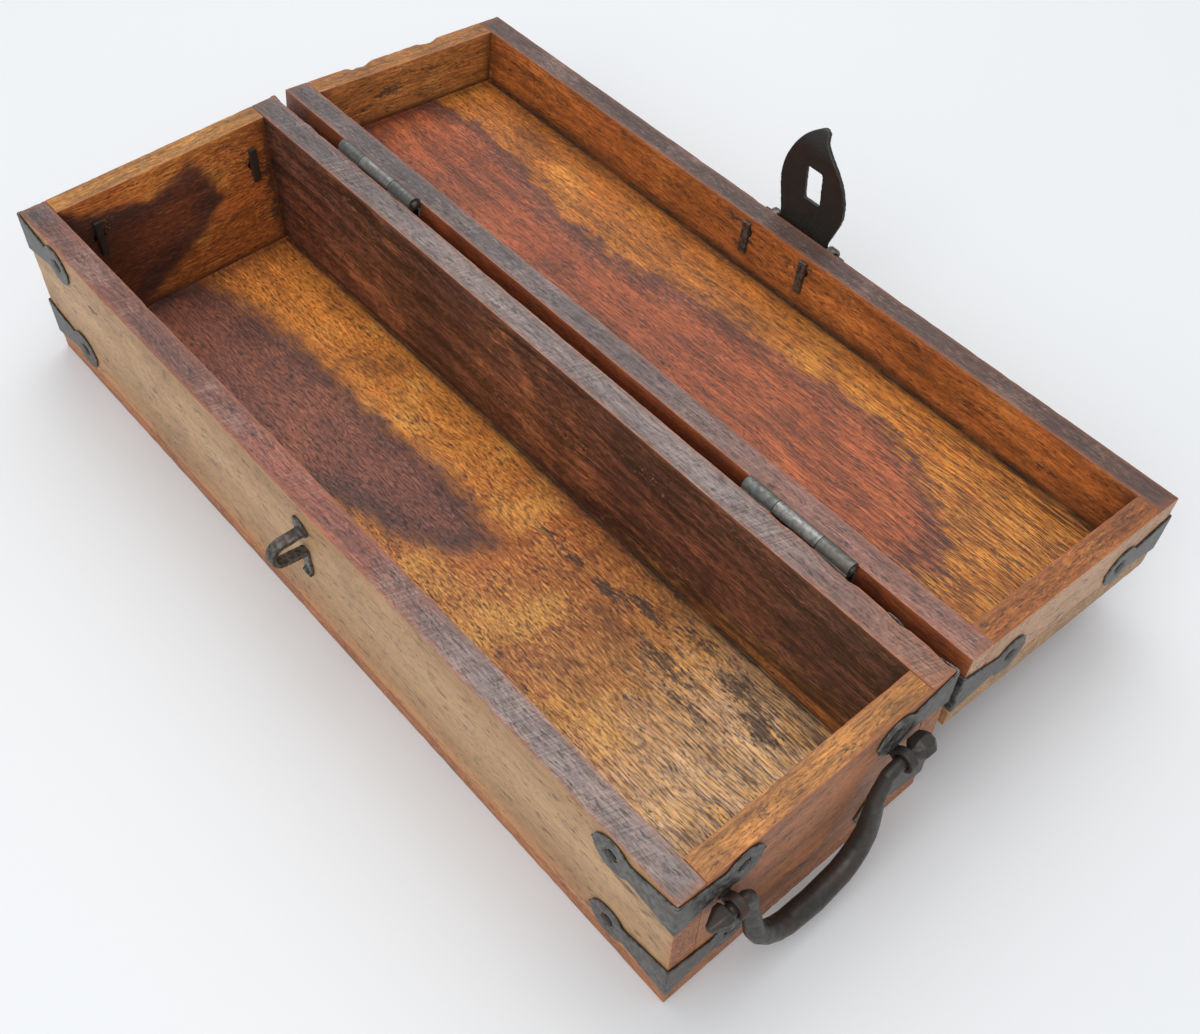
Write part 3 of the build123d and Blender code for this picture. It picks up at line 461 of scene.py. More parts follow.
def iron(name, base, worn, metallic=0.8, gloss=0.42, rust=0.3, relief=0.5, lid=False, size=2.2):
    """Wrought iron, hammered hot and waxed by hands: dull patches, brown bloom, dirty hollows and rubbed high
    spots. The size is that of its mottling, in millimetres."""
    material, tree, shader, place = start_material(name, lid)
    mottle = put(tree, "TexNoise", {"Vector": place, "Scale": 1 / size, "Detail": 5.0, "Roughness": 0.6})
    grit = put(tree, "TexNoise", {"Vector": place, "Scale": GRIT_SCALE, "Detail": 3.0})
    bloom = put(tree, "TexNoise", {"Vector": place, "Scale": BLOOM_SCALE, "Detail": 3.0})
    hollow = put(tree, "NewGeometry", out="Pointiness")
    colour = laid_over(tree, tone(base), tone(worn), mottle, 0.36, 0.64)
    colour = laid_over(tree, colour, tone("rust"), bloom, 0.5, 0.66, rust)
    colour = laid_over(tree, colour, tone("grime_and_shade"), hollow, 0.5, 0.44, 0.7)
    colour = laid_over(tree, colour, tone(worn), hollow, 0.53, 0.6, 0.5)
    tree.links.new(colour, shader.inputs["Base Color"])
    shader.inputs["Metallic"].default_value = metallic
    rough = put(tree, "MapRange", (mottle, 0.3, 0.7, gloss + 0.12, gloss - 0.05), **SOFT)
    tree.links.new(rough, shader.inputs["Roughness"])
    height = put(tree, "Math", (mottle, 2.0, grit), **TIMES_PLUS)
    bump = put(tree, "Bump", {"Height": height, "Strength": relief, "Distance": IRON_BUMP})
    tree.links.new(bump, shader.inputs["Normal"])
    return material


# Every face of every board has one of these: the words for its surface, and what sets it apart
WOODS = {
    # The floors show planed flecks, a red heart and ridged grain where the plane has lifted it
    "body_floor": dict(
        name="rosewood_body_floor_planed", tones="gold",
        zones=("X", [
            (-195, "copper"), (-165, "gold_mid"), (-100, "gold_mid"), (-20, "gold_mid"), (30, "copper"),
            (100, "ochre_mid"), (158, "straw_mid"), (192, "straw_mid"),
        ]),
        heart="heart", patches=0.5, soft=5.0, fleck=0.65, glint=0.6, fibre=0.25, figure=14.0,
        contrast=0.2, ridges=("X", 70, 185, 0.75), relief=0.7, seed=1.0,
    ),
    "lid_floor": dict(
        name="rosewood_lid_floor_planed", tones="lid_gold", lid=True, heart="red", ragged=6.0, soft=2.5,
        patches=0.45, fleck=0.7, glint=0.45, figure=6.0, contrast=0.34, ridges=("X", -60, 190, 0.6),
        relief=0.6, seed=21.0,
    ),
    # The inside walls are dark with wax; the rear one has a sap band along its foot
    "body_wall": dict(
        name="rosewood_inside_wall_waxed", tones="wall",
        zones=("Z", [(8, "wall_mid"), (45, "wall_mid"), (78, "wall_top")]), heart="ochre", ragged=3.0,
        figure=4.0, contrast=0.7, patches=0.7, fleck=0.8, glint=0.55, fibre=0.35, scuffs=0.4, gloss=0.38,
        seed=31.0,
    ),
    "lid_wall": dict(
        name="rosewood_lid_wall_waxed", tones="amber", lid=True, figure=6.0, contrast=0.4, fleck=0.5,
        gloss=0.4, seed=41.0,
    ),
    "left_inside": dict(
        name="rosewood_left_inside_waxed", tones="gold", grain="Y",
        zones=("Z", [(8, "amber_mid"), (45, "copper"), (78, "copper")]), heart="inner", ragged=2.0,
        soft=2.2, figure=12.0, contrast=0.3, fleck=0.5, seed=51.0,
    ),
    "right_inside": dict(
        name="rosewood_right_inside_waxed", tones="gold", grain="Y",
        zones=("Z", [(8, "amber_mid"), (78, "gold_mid")]), seed=57.0,
    ),
    "lid_end_inside": dict(
        name="rosewood_lid_end_inside_waxed", tones="ochre", grain="Y", lid=True, figure=7.0, fleck=0.4,
        glint=0.4, seed=61.0,
    ),
    # The grey of the long rims is partly handling and partly a painted sheen, the glossy reflection of the room
    # laid into their colour. The rims show the saw's cross marks.
    "front_rim": dict(
        name="rosewood_front_rim_sawn_painted_sheen", tones="rim",
        zones=("X", [
            (-203, "graphite"), (-182, "maroon"), (-70, "maroon"), (-15, "brick"), (35, "brick"),
            (75, "plum"), (110, "ash"), (203, "ash"),
        ]),
        figure=5.0, saw=0.7, seed=71.0,
    ),
    "rear_rim": dict(
        name="rosewood_rear_rim_sawn_painted_sheen", tones="rim",
        zones=("X", [
            (-203, "graphite"), (-130, "slate"), (-60, "ash"), (120, "ash"), (165, "rosy"),
            (203, "russet"),
        ]),
        figure=5.0, saw=1.0, seed=73.0,
    ),
    "lid_near_rim": dict(
        name="rosewood_lid_near_rim_sawn_painted_sheen", tones="rim", lid=True,
        zones=("X", [
            (-204, "graphite"), (-90, "graphite"), (-20, "slate"), (70, "plum"), (110, "rosy"),
            (204, "rosy"),
        ]),
        figure=6.0, saw=0.5, seed=77.0,
    ),
    "lid_far_rim": dict(
        name="rosewood_lid_far_rim_sawn", tones="rim", lid=True,
        zones=("X", [(-204, "cocoa"), (-60, "cocoa"), (204, "umber")]), figure=6.0, saw=0.3, seed=79.0,
    ),
    "left_rim": dict(
        name="rosewood_left_rim_sawn", tones="honey", grain="Y", figure=4.0, saw=0.3, seed=81.0,
    ),
    "right_rim": dict(
        name="rosewood_right_rim_sawn", tones="honey", grain="Y",
        zones=("Y", [(-52, "honey_bright"), (5, "honey_bright"), (52, "honey_deep")]), figure=3.5,
        contrast=0.35, fleck=0.6, glint=0.5, saw=0.3, seed=83.0,
    ),
    "lid_left_rim": dict(
        name="rosewood_lid_left_rim_sawn", tones="honey", grain="Y", lid=True,
        zones=("Y", [(0, "honey_deep"), (130, "honey_deep")]), figure=4.0, fleck=0.5, saw=0.3, seed=85.0,
    ),
    "lid_right_rim": dict(
        name="rosewood_lid_right_rim_sawn", tones="toffee", grain="Y", lid=True, figure=3.5, fleck=0.6,
        glint=0.5, seed=87.0,
    ),
    # The outsides are dry and dusty, warmer where hands and the table rub
    "front_face": dict(
        name="rosewood_front_face_bleached", tones="dust",
        zones=("Z", [(8, "warm_light"), (24, "dust_mid"), (50, "dust_light"), (78, "dust_mid")]),
        figure=6.0, contrast=0.1, fleck=0.12, glint=0.12, fibre=0.1, pores=0.3, gloss=0.5, relief=0.3,
        seed=91.0,
    ),
    "rear_face": dict(
        name="rosewood_rear_face_dry", tones="warm", figure=7.0, fleck=0.3, gloss=0.52, seed=93.0,
    ),
    "end_face": dict(
        name="rosewood_end_face_handled", tones="warm", grain="Y", figure=7.0, fleck=0.25, fibre=0.14,
        gloss=0.42, seed=95.0,
    ),
    "end_grain": dict(
        name="rosewood_end_grain_handled", tones="warm", figure=3.0, fleck=0.4, pores=0.8, gloss=0.5,
        seed=96.0,
    ),
    "base_strip": dict(
        name="rosewood_base_board_dry", tones="warm", figure=5.0, fleck=0.25, gloss=0.5, seed=97.0,
    ),
    "underside": dict(
        name="rosewood_underside_dry", tones="dust", figure=8.0, pores=0.7, gloss=0.62, relief=0.8,
        seed=99.0,
    ),
    # Painted shade: the lid's back face is darker than the other outsides, for the shade of the gap between lid
    # and body
    "gap_face": dict(
        name="rosewood_lid_back_face_painted_shade", tones="gap", lid=True, figure=7.0, fleck=0.25, seed=101.0,
    ),
    "lid_face": dict(
        name="rosewood_lid_front_face_bleached", tones="dust", lid=True, figure=6.0, contrast=0.1,
        fleck=0.12, gloss=0.5, seed=103.0,
    ),
    "lid_end_face": dict(
        name="rosewood_lid_end_face_bleached", tones="pink", grain="Y", lid=True, figure=7.0,
        contrast=0.1, fleck=0.12, fibre=0.1, gloss=0.5, relief=0.3, seed=105.0,
    ),
    "lid_end_grain": dict(
        name="rosewood_lid_end_grain_bleached", tones="pink", lid=True, figure=3.0, fleck=0.3, pores=0.7,
        gloss=0.5, seed=106.0,
    ),
    "lid_strip": dict(
        name="rosewood_lid_board_edge_dry", tones="dust", lid=True, figure=5.0, fleck=0.2, gloss=0.5,
        seed=107.0,
    ),
    "lid_top": dict(
        name="rosewood_lid_top_handled", tones="warm", lid=True, figure=8.0, fleck=0.25, gloss=0.45,
        seed=109.0,
    ),
}

# Outlines of heartwood on a board: the two axes they lie in, and millimetres of its half's own coordinates
HEARTS = {
    "bottom_board": ("XY", [
        (-205, -70), (-200, -23), (-190, 1), (-170, 8), (-126, 14.5), (-90, 14), (-50, 15), (-26, 18),
        (3, 14), (19, 9), (8, -8), (-16, -17), (-41, -23), (-58, -38), (-72, -70),
    ]),
    "end_panel_left": ("YZ", [
        (-60, 80), (-51, 74), (-34, 68), (-10, 64), (3, 68), (11, 72), (16, 67), (23, 49), (11, 35),
        (-10, 22), (-26, 13), (-40, 5), (-60, 0),
    ]),
    "rear_board": ("XZ", [(30, 0), (44, 14), (100, 20), (150, 27), (200, 36), (200, 0)]),
    "lid_top_board": ("XY", [
        (-215, 70), (-195, 80), (-164, 87), (-127, 82), (-87, 73), (-46, 74), (-5, 84), (29, 87),
        (62, 90), (93, 92), (122, 84), (153, 63), (163, 47), (149, 36), (143, 20), (135, 0), (-215, 0),
    ]),
}

# Stains and scars are soft lumps: a centre and three radii, in millimetres of the half's own coordinates
STAINS = {
    "bottom_board": [
        ((44, 31, 8), (19, 4, 20)), ((68, 30, 8), (19, 5, 20)), ((84, 36, 8), (15, 5, 20)),
        ((108, 26, 8), (20, 6, 20)), ((112, 42, 8), (15, 5, 20)), ((136, 38, 8), (22, 7, 20)),
        ((152, 32, 8), (14, 6, 20)), ((128, 18, 8), (14, 4, 20)),
    ],
    "end_panel_left": [
        ((-192, -36.8, 56), (9, 4, 8)), ((-192, 41.8, 56), (9, 6, 9)), ((-192, 50, 40), (9, 7, 30)),
    ],
    "end_panel_right": [((192, -41.8, 56), (9, 4, 8)), ((192, 36.8, 56), (9, 5, 8))],
    "lid_front_board": [
        ((-12.5, 116, -8), (4, 9, 6)), ((21.5, 116, -8), (4, 9, 6)), ((-22, 116, -5), (3, 9, 3)),
    ],
    "lid_end_panel_left": [((-193, 52, -12), (9, 8, 4))],
    "front_board": [
        ((182, -63, 56), (5, 9, 1.5)), ((195, -63, 39), (4, 9, 1.5)), ((-150, -63, 60), (6, 9, 1.2)),
    ],
}
SCARS = {
    "rear_board": [
        ((-112, 51, 62), (9, 6, 7)), ((-145, 51, 61), (7, 6, 7)), ((-30, 51, 30), (18, 6, 7)),
        ((20, 51, 44), (24, 6, 6)), ((66, 51, 60), (20, 6, 7)), ((111, 51, 69), (8, 6, 5)),
        ((139, 51, 68), (10, 6, 4)),
    ],
    "lid_front_board": [
        ((-20, 116, -8), (7, 6, 5)), ((16, 116, -10), (6, 6, 5)), ((28, 116, -6), (6, 6, 4)),
    ],
    "end_panel_left": [
        ((-192, 37, 63), (8, 9, 8)), ((-192, -32, 62), (8, 5, 6)), ((-192, 46, 52), (8, 5, 9)),
    ],
}

# Chips along an edge: the middle, the reach and the depth, in millimetres of the half's own coordinates
CHIPS = {
    "rear_board": [
        ((150, 63.5, 78.5), 9, 0.7), ((176, 63.5, 78.5), 7, 0.9),
        ((196, 63.5, 78.5), 6, 0.8), ((121, 63.5, 78.5), 5, 0.5),
    ],
    "lid_end_panel_left": [((-204, 44, -0.2), 7, 1.5), ((-204, 84, -0.2), 6, 1.3)],
}

# The holes of the split pins: the middle, the direction and the radius, in the same millimetres
PIN_HOLES = {
    "end_panel_left": [((-198, 2.5 + step * 39.3, 57), (1, 0, 0), 2.9) for step in (-1, 1)],
    "end_panel_right": [((198, -2.5 + step * 39.3, 57), (1, 0, 0), 2.9) for step in (-1, 1)],
    "lid_front_board": [((4.5 + step * 17, 122, -7.7), (0, 1, 0), 2.95) for step in (-1, 1)],
}

# The boards of each half: the piece, its CAD node, and the wood on each side
BODY_BOARDS = {
    ("front_plank", "front_board"): {
        "-Y": "front_face", "+Y": "body_wall", "+Z": "front_rim", "rest": "end_grain",
    },
    ("rear_plank", "rear_board"): {
        "-Y": "body_wall", "+Z": "rear_rim", "+Y": "rear_face", "rest": "end_grain",
    },
    ("left_end_plank", "end_panel_left"): {"+Z": "left_rim", "+X": "left_inside", "rest": "end_face"},
    ("right_end_plank", "end_panel_right"): {"+Z": "right_rim", "-X": "right_inside", "rest": "end_face"},
    ("bottom_plank", "bottom_board"): {"+Z": "body_floor", "-Z": "underside", "rest": "base_strip"},
}
LID_BOARDS = {
    ("lid_hinge_plank", "lid_rear_board"): {
        "-Y": "gap_face", "+Y": "lid_wall", "+Z": "lid_near_rim", "rest": "lid_end_grain",
    },
    ("lid_lock_plank", "lid_front_board"): {
        "-Y": "lid_wall", "+Y": "lid_face", "+Z": "lid_far_rim", "rest": "lid_end_grain",
    },
    ("lid_left_plank", "lid_end_panel_left"): {
        "+X": "lid_end_inside", "+Z": "lid_left_rim", "rest": "lid_end_face",
    },
    ("lid_right_plank", "lid_end_panel_right"): {
        "-X": "lid_end_inside", "+Z": "lid_right_rim", "rest": "lid_end_face",
    },
    ("lid_top_plank", "lid_top_board"): {"+Z": "lid_floor", "-Z": "lid_top", "rest": "lid_strip"},
}

# The woods that are made already, by look
MADE_WOODS = {}


def wood_for(look):
    if look not in MADE_WOODS:
        MADE_WOODS[look] = wood(**WOODS[look])
    return MADE_WOODS[look]


# Pieces


def pick_only(piece=None):
    bpy.ops.object.select_all(action="DESELECT")
    bpy.context.view_layer.objects.active = piece
    if piece:
        piece.select_set(True)


def own_box(node, place):
    """The lowest and highest corners of a CAD node in its half's own coordinates."""
    back = place.inverted()
    spots = [back @ vertex.co for vertex in frame["nodes"][node].data.vertices]
    return [Vector([choose(spot[axis] for spot in spots) for axis in range(3)]) for choose in (min, max)]


def corner_distance(spot, cavity):
    """How far a place inside a half is from the nearest line where two of its boards meet, in millimetres."""
    low, high = cavity
    gaps = [spot.x - low.x, high.x - spot.x, spot.y - low.y, high.y - spot.y, spot.z - low.z]
    if min(gaps) < -CAVITY_SLACK or spot.z > high.z:
        return NO_CORNER
    return sorted(max(gap, 0) for gap in gaps)[1]


def outline_depth(spot, outline):
    """How far inside a closed outline a point of its plane is; below zero outside it."""
    inside, nearest = False, math.inf
    for (ax, ay), (bx, by) in zip(outline, outline[1:] + outline[:1]):
        if (ay > spot[1]) != (by > spot[1]) and spot[0] < (bx - ax) * (spot[1] - ay) / (by - ay) + ax:
            inside = not inside
        run = ((spot[0] - ax) * (bx - ax) + (spot[1] - ay) * (by - ay)) / ((bx - ax) ** 2 + (by - ay) ** 2)
        run = min(max(run, 0), 1)
        nearest = min(nearest, math.hypot(ax + run * (bx - ax) - spot[0], ay + run * (by - ay) - spot[1]))
    return nearest if inside else -nearest


def lump_depth(spot, lumps):
    """1 in the middle of a soft lump, falling to 0 at its radii."""
    deepest = 0.0
    for centre, radii in lumps:
        if all(abs(spot[axis] - centre[axis]) < radii[axis] for axis in range(3)):
            away = [(spot[axis] - centre[axis]) / radii[axis] for axis in range(3)]
            deepest = max(deepest, 1 - math.hypot(*away))
    return deepest


# What each point of a board carries for its material
BOARD_NOTES = ("rub", "grime_and_shade", "heart", "stain", "scars")

# The sizes of the dips, dents, nicks, chips and scars of a board, in millimetres
DIP_SPAN = 22
DENT_SPAN = 7
NICK_SPAN = 2.6
CHIP_SPAN = 1.7
SCAR_SPAN = 2.2

# How far from an edge wear reaches along a face and into the board, and how thick its skin is
EDGE_REACH = 2.2
BITE_REACH = 3
SKIN = 0.1

# How wide a rubbed arris is, and how wide the line and the haze of painted shade and old wax in a corner are
RUB_WIDTH = 0.7
RUB_SKIN = 0.8
SHADE_LINE = 1.7
SHADE_HAZE = 8

# How far past a wall a place still counts as inside its half, and the distance that stands for no corner
CAVITY_SLACK = 0.3
NO_CORNER = 99.0

# The depth that stands for no heart at all
NO_HEART = -50

# How nearly an edge lies along an axis to count as along it, a drill's length in millimetres, and the angle
# below which the faces of a board are shaded as one
ALONG = 0.98
DRILL_DEPTH = 60
SMOOTH_ANGLE = math.radians(35)

# The forged parts: the distance in millimetres at which points are welded, the size of the hammer's marks,
# and the level of their noise that leaves the surface where it is, so that most of them go inwards
WELD = 0.002
MARK_SPAN = 5
MARK_LEVEL = 0.75


def wear_board(piece, node, low, high, cavity):
    """Dips and dents a board's mesh inwards, and notes how rubbed, stained and scarred it is and how much painted
    shade and old wax darken its inside corners.
    """
    sizes = bpy.context.scene.chest_sizes
    centre, half = (low + high) / 2, (high - low) / 2
    mesh = piece.data
    for key in BOARD_NOTES:
        mesh.attributes.new(key, "FLOAT", "POINT")
    notes = {key: mesh.attributes[key].data for key in BOARD_NOTES}
    plane, outline = HEARTS.get(node, ("XY", None))
    across, up = ("XYZ".index(axis) for axis in plane)
    for vertex in mesh.vertices:
        spot = vertex.co.copy()
        away = spot - centre
        inset = [half[axis] - abs(away[axis]) for axis in range(3)]
        edge = sorted(inset)[1]
        at = spot / MM
        push = Vector((0, 0, 0))
        dip = sizes.ripple * (0.5 + noise.noise(spot / (DIP_SPAN * MM)))
        dent = noise.noise(spot / (DENT_SPAN * MM)) * 0.6 + noise.noise(spot / (NICK_SPAN * MM)) * 0.7
        bite = max(0.0, dent - 0.1) * sizes.wear
        bite *= max(0.0, 1 - edge / (EDGE_REACH * MM))
        for chip_spot, reach, depth in CHIPS.get(node, ()):
            near = (at - Vector(chip_spot)).length / reach
            if near < 1:
                torn = 0.75 + noise.noise(spot / (CHIP_SPAN * MM)) * 0.6
                bite += depth * MM * (1 - near * near) * torn
        scar = lump_depth(at, SCARS.get(node, ()))
        for axis in range(3):
            sign = 1 if away[axis] > 0 else -1
            if inset[axis] < SKIN * MM:
                crushed = max(0.0, noise.noise(spot / (SCAR_SPAN * MM)))
                push[axis] -= sign * (dip + scar * sizes.wear * crushed)
            if inset[axis] < BITE_REACH * MM:
                push[axis] -= sign * bite * max(0.0, 1 - inset[axis] / (BITE_REACH * MM))
        vertex.co += push
        index = vertex.index
        outside = sorted(inset)[0] < RUB_SKIN * MM
        notes["rub"][index].value = math.exp(-edge / (RUB_WIDTH * MM)) if outside else 0
        # Painted shade, with old wax: a dark line and a haze along the inside corners
        corner = corner_distance(at, cavity)
        shade_and_dirt = 1.2 * math.exp(-corner / SHADE_LINE) + 0.2 * math.exp(-corner / SHADE_HAZE)
        notes["grime_and_shade"][index].value = min(1.0, shade_and_dirt)
        notes["stain"][index].value = lump_depth(at, STAINS.get(node, ()))
        notes["scars"][index].value = min(1.0, 2 * scar)
        notes["heart"][index].value = outline_depth((at[across], at[up]), outline) if outline else NO_HEART


def board(name, node, looks, lid=False):
    """Makes a board: a block with broken arrises, a fine mesh that wear can dent, its holes and its woods."""
    sizes = bpy.context.scene.chest_sizes
    place = LID_PLACE if lid else STRAIGHT
    low, high = own_box(node, place)
    pick_only()
    bpy.ops.mesh.primitive_cube_add(size=1, location=(low + high) / 2, scale=high - low)
    piece = bpy.context.object
    piece.name = name
    bpy.ops.object.transform_apply(location=True, rotation=True, scale=True)
    bpy.ops.object.mode_set(mode="EDIT")
    bpy.ops.mesh.select_mode(type="EDGE")
    bpy.ops.mesh.select_all(action="SELECT")
    bpy.ops.mesh.bevel(offset=sizes.arris, segments=2, affect="EDGES")

    # Cuts the long edges along each axis in turn, so that the faces become grids
    for axis in range(3):
        edit = bmesh.from_edit_mesh(piece.data)
        longest = 0
        for edge in edit.edges:
            run = edge.verts[1].co - edge.verts[0].co
            edge.select = abs(run[axis]) > ALONG * run.length and run.length > 2.5 * sizes.arris
            longest = max(longest, run.length if edge.select else 0)
        edit.select_flush_mode()
        bmesh.update_edit_mesh(piece.data)
        bpy.ops.mesh.subdivide(number_cuts=max(1, round(longest / sizes.cell) - 1))
    bpy.ops.object.mode_set(mode="OBJECT")
    wear_board(piece, node, low, high, LID_CAVITY if lid else BODY_CAVITY)

    # Drills the holes
    for spot, direction, radius in PIN_HOLES.get(node, ()):
        pick_only()
        bpy.ops.mesh.primitive_cylinder_add(
            vertices=20,
            radius=radius * MM,
            depth=DRILL_DEPTH * MM,
            location=Vector(spot) * MM,
        )
        bit = bpy.context.object
        bit.rotation_mode = "QUATERNION"
        bit.rotation_quaternion = Vector(direction).to_track_quat("Z", "Y")
        pick_only(bit)
        bpy.ops.object.transform_apply(location=True, rotation=True, scale=True)
        pick_only(piece)
        cut = piece.modifiers.new("hole", "BOOLEAN")
        cut.operation = "DIFFERENCE"
        cut.object = bit
        cut.solver = "EXACT"
        bpy.ops.object.modifier_apply(modifier=cut.name)
        bpy.data.objects.remove(bit)

    # Gives each face the wood of the side that it looks to
    names = sorted(set(looks.values()))
    piece.data.materials.clear()
    for look in names:
        piece.data.materials.append(wood_for(look))
    for face in piece.data.polygons:
        axis = max(range(3), key=lambda a: abs(face.normal[a]))
        side = ("+" if face.normal[axis] > 0 else "-") + "XYZ"[axis]
        face.material_index = names.index(looks.get(side, looks["rest"]))
    pick_only(piece)
    piece.matrix_world = place
    bpy.ops.object.transform_apply(location=True, rotation=True, scale=True)
    bpy.ops.object.shade_smooth_by_angle(angle=SMOOTH_ANGLE)
    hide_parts(node)
    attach(piece, "lid" if lid else "body")


def ironwork(name, node, body, material, voxel=0.4, passes=6, dents=1.0, angle=50):
    """Copies a forged part, works its facets together, eases its edges and dents its faces with a hammer."""
    sizes = bpy.context.scene.chest_sizes
    mesh = frame["nodes"][node].data.copy()
    piece = bpy.data.objects.new(name, mesh)
    bpy.context.scene.collection.objects.link(piece)
    pick_only(piece)
    bpy.ops.object.mode_set(mode="EDIT")
    bpy.ops.mesh.select_all(action="SELECT")
    bpy.ops.mesh.remove_doubles(threshold=WELD * MM)
    bpy.ops.object.mode_set(mode="OBJECT")
    if voxel:
        remesh = piece.modifiers.new("rework", "REMESH")
        remesh.mode = "VOXEL"
        remesh.voxel_size = voxel * MM
        bpy.ops.object.modifier_apply(modifier=remesh.name)
        ease = piece.modifiers.new("ease", "SMOOTH")
        ease.factor = 0.5
        ease.iterations = passes
        bpy.ops.object.modifier_apply(modifier=ease.name)
        marks = bpy.data.textures.new(name + "_marks", "CLOUDS")
        marks.noise_scale = MARK_SPAN * MM
        marks.noise_depth = 2
        hammer = piece.modifiers.new("hammer", "DISPLACE")
        hammer.texture = marks
        hammer.strength = sizes.hammer * dents
        hammer.mid_level = MARK_LEVEL
        bpy.ops.object.modifier_apply(modifier=hammer.name)
    piece.data.materials.clear()
    piece.data.materials.append(material)
    bpy.ops.object.shade_smooth_by_angle(angle=math.radians(angle))
    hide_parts(node)
    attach(piece, body)


def node_body(node):
    return next(body for body, nodes in frame["record"]["behaviour"]["bodies"].items() if node in nodes)


class CHEST_OT_body_boards(bpy.types.Operator):
    """Makes the five boards of the body, dented and rubbed along their edges"""

    bl_idname = "chest.body_boards"
    bl_label = "Body boards"

    def execute(self, context):
        for (name, node), looks in BODY_BOARDS.items():
            board(name, node, looks)
        return {"FINISHED"}


class CHEST_OT_lid_boards(bpy.types.Operator):
    """Makes the five boards of the open lid, dented and rubbed along their edges"""

    bl_idname = "chest.lid_boards"
    bl_label = "Lid boards"

    def execute(self, context):
        for (name, node), looks in LID_BOARDS.items():
            board(name, node, looks, lid=True)
        return {"FINISHED"}


class CHEST_OT_straps(bpy.types.Operator):
    """Makes the twelve corner straps and the nails that hold them"""

    bl_idname = "chest.straps"
    bl_label = "Corner straps"

    def execute(self, context):
        # The straps are grey and blotched from the hammer, and the nails are black from the fire
        waxed = {"metallic": 0.6, "gloss": 0.42}
        body_iron = iron("wrought_iron_strap_waxed", "strap", "strap_dark", rust=0.3, **waxed)
        lid_iron = iron("wrought_iron_lid_strap_waxed", "strap", "strap_dark", rust=0.2, lid=True, **waxed)
        nail_iron = iron("wrought_iron_nail_blackened", "black_iron", "strap_dark", gloss=0.5)
        for node in sorted(frame["nodes"]):
            if "_strap_" in node and not node.endswith("nails"):
                metal = lid_iron if node.startswith("lid") else body_iron
                ironwork(f"{node}_iron", node, node_body(node), metal, voxel=0.45, passes=3)
        for node in ("body_strap_nails", "lid_strap_nails"):
            ironwork(f"{node}_iron", node, node_body(node), nail_iron, voxel=0.3, passes=4)
        for node in ("bottom_nails", "lid_top_nails", "body_hinge_nails", "lid_hinge_nails"):
            ironwork(f"{node}_iron", node, node_body(node), nail_iron, voxel=0.3, passes=2)
        return {"FINISHED"}


class CHEST_OT_hinges(bpy.types.Operator):
    """Makes the two butt hinges with their rubbed barrels"""

    bl_idname = "chest.hinges"
    bl_label = "Hinges"

    def execute(self, context):
        # The leaves are pitted by rust, and the barrels are rubbed bright where they turn
        outer = iron("mild_steel_leaf_pitted", "strap_dark", "strap", metallic=0.8, gloss=0.42, rust=0.5)
        middle = iron("mild_steel_barrel_rubbed", "strap_dark", "steel", metallic=0.9, gloss=0.34, rust=0.15)
        for side in ("left", "right"):
            for part, metal in (("body_leaf", outer), ("lid_leaf", middle), ("pin", outer)):
                node = f"hinge_{part}_{side}"
                ironwork(f"{node}_steel", node, node_body(node), metal, voxel=None, angle=35)
        return {"FINISHED"}


class CHEST_OT_handles(bpy.types.Operator):
    """Makes the two bail handles and the split pins that carry them"""

    bl_idname = "chest.handles"
    bl_label = "Bail handles"

    def execute(self, context):
        # The bails are dark and smooth from hands, and the pins are rusty where damp stays
        worn = {"metallic": 0.5, "gloss": 0.4, "rust": 0.2, "size": 2.6}
        bail = iron("wrought_iron_bail_handled", "black_iron", "brown_iron", **worn)
        pin = iron("wrought_iron_pin_rusted", "black_iron", "brown_iron", metallic=0.5, gloss=0.5, rust=0.6)
        for side in ("left", "right"):
            handle, eyes = f"handle_{side}", f"handle_eyes_{side}"
            ironwork(f"bail_{side}", handle, handle, bail, voxel=0.35, passes=3, dents=0.35)
            ironwork(f"bail_pins_{side}", eyes, "body", pin, voxel=0.3, passes=5)
        return {"FINISHED"}


class CHEST_OT_lock(bpy.types.Operator):
    """Makes the hasp with its split pins, and the staple"""

    bl_idname = "chest.lock"
    bl_label = "Hasp and staple"

    def execute(self, context):
        # The hasp is an even black, and the staple is rubbed grey where the hasp slides over it
        black = {"metallic": 0.6, "gloss": 0.42, "rust": 0.25, "lid": True, "size": 4.0}
        plate = iron("wrought_iron_hasp_blackened", "black_iron", "strap_dark", **black)
        rubbed = {"metallic": 0.7, "gloss": 0.42, "rust": 0.35}
        staple = iron("wrought_iron_staple_rubbed", "brown_iron", "strap", **rubbed)
        ironwork("hasp_plate", "hasp", "hasp", plate, voxel=0.4, passes=4)
        ironwork("hasp_pins", "hasp_eyes", "lid", staple, voxel=0.3, passes=4)
        ironwork("staple_loop", "staple", "body", staple, voxel=0.3, passes=4)
        return {"FINISHED"}


# The camera that took the photograph, found from the corners of the box: its place in millimetres, its axes,
# and its lens and middle in pixels of the picture
SHOT_PLACE = (315.085, -203.885, 487.388)
SHOT_RIGHT = (0.65813, 0.752637, 0.020045)
SHOT_DOWN = (0.599242, -0.507506, -0.61915)
SHOT_FORWARD = (-0.455822, 0.419493, -0.785017)
SHOT_LENS = 1464.55
SHOT_MIDDLE = (597.33, 517.75)
PICTURE = (1200, 1034)
SENSOR = 36

# The soft light of the room, and the lamps: the place and the size in metres, and the power in watts
ROOM_COLOUR = (0.93, 0.96, 1.0, 1.0)
ROOM_LIGHT = 0.62
LAMPS = {
    "key_box": ((-0.7, 0.8, 1.6), 1.5, 13.0),
    "front_box": ((0.5, -1.2, 1.3), 1.3, 13.0),
    "top_box": ((0.0, 0.0, 1.9), 1.4, 8.0),
}
FLOOR_RADIUS = 4
FLOOR_ROUGHNESS = 0.7


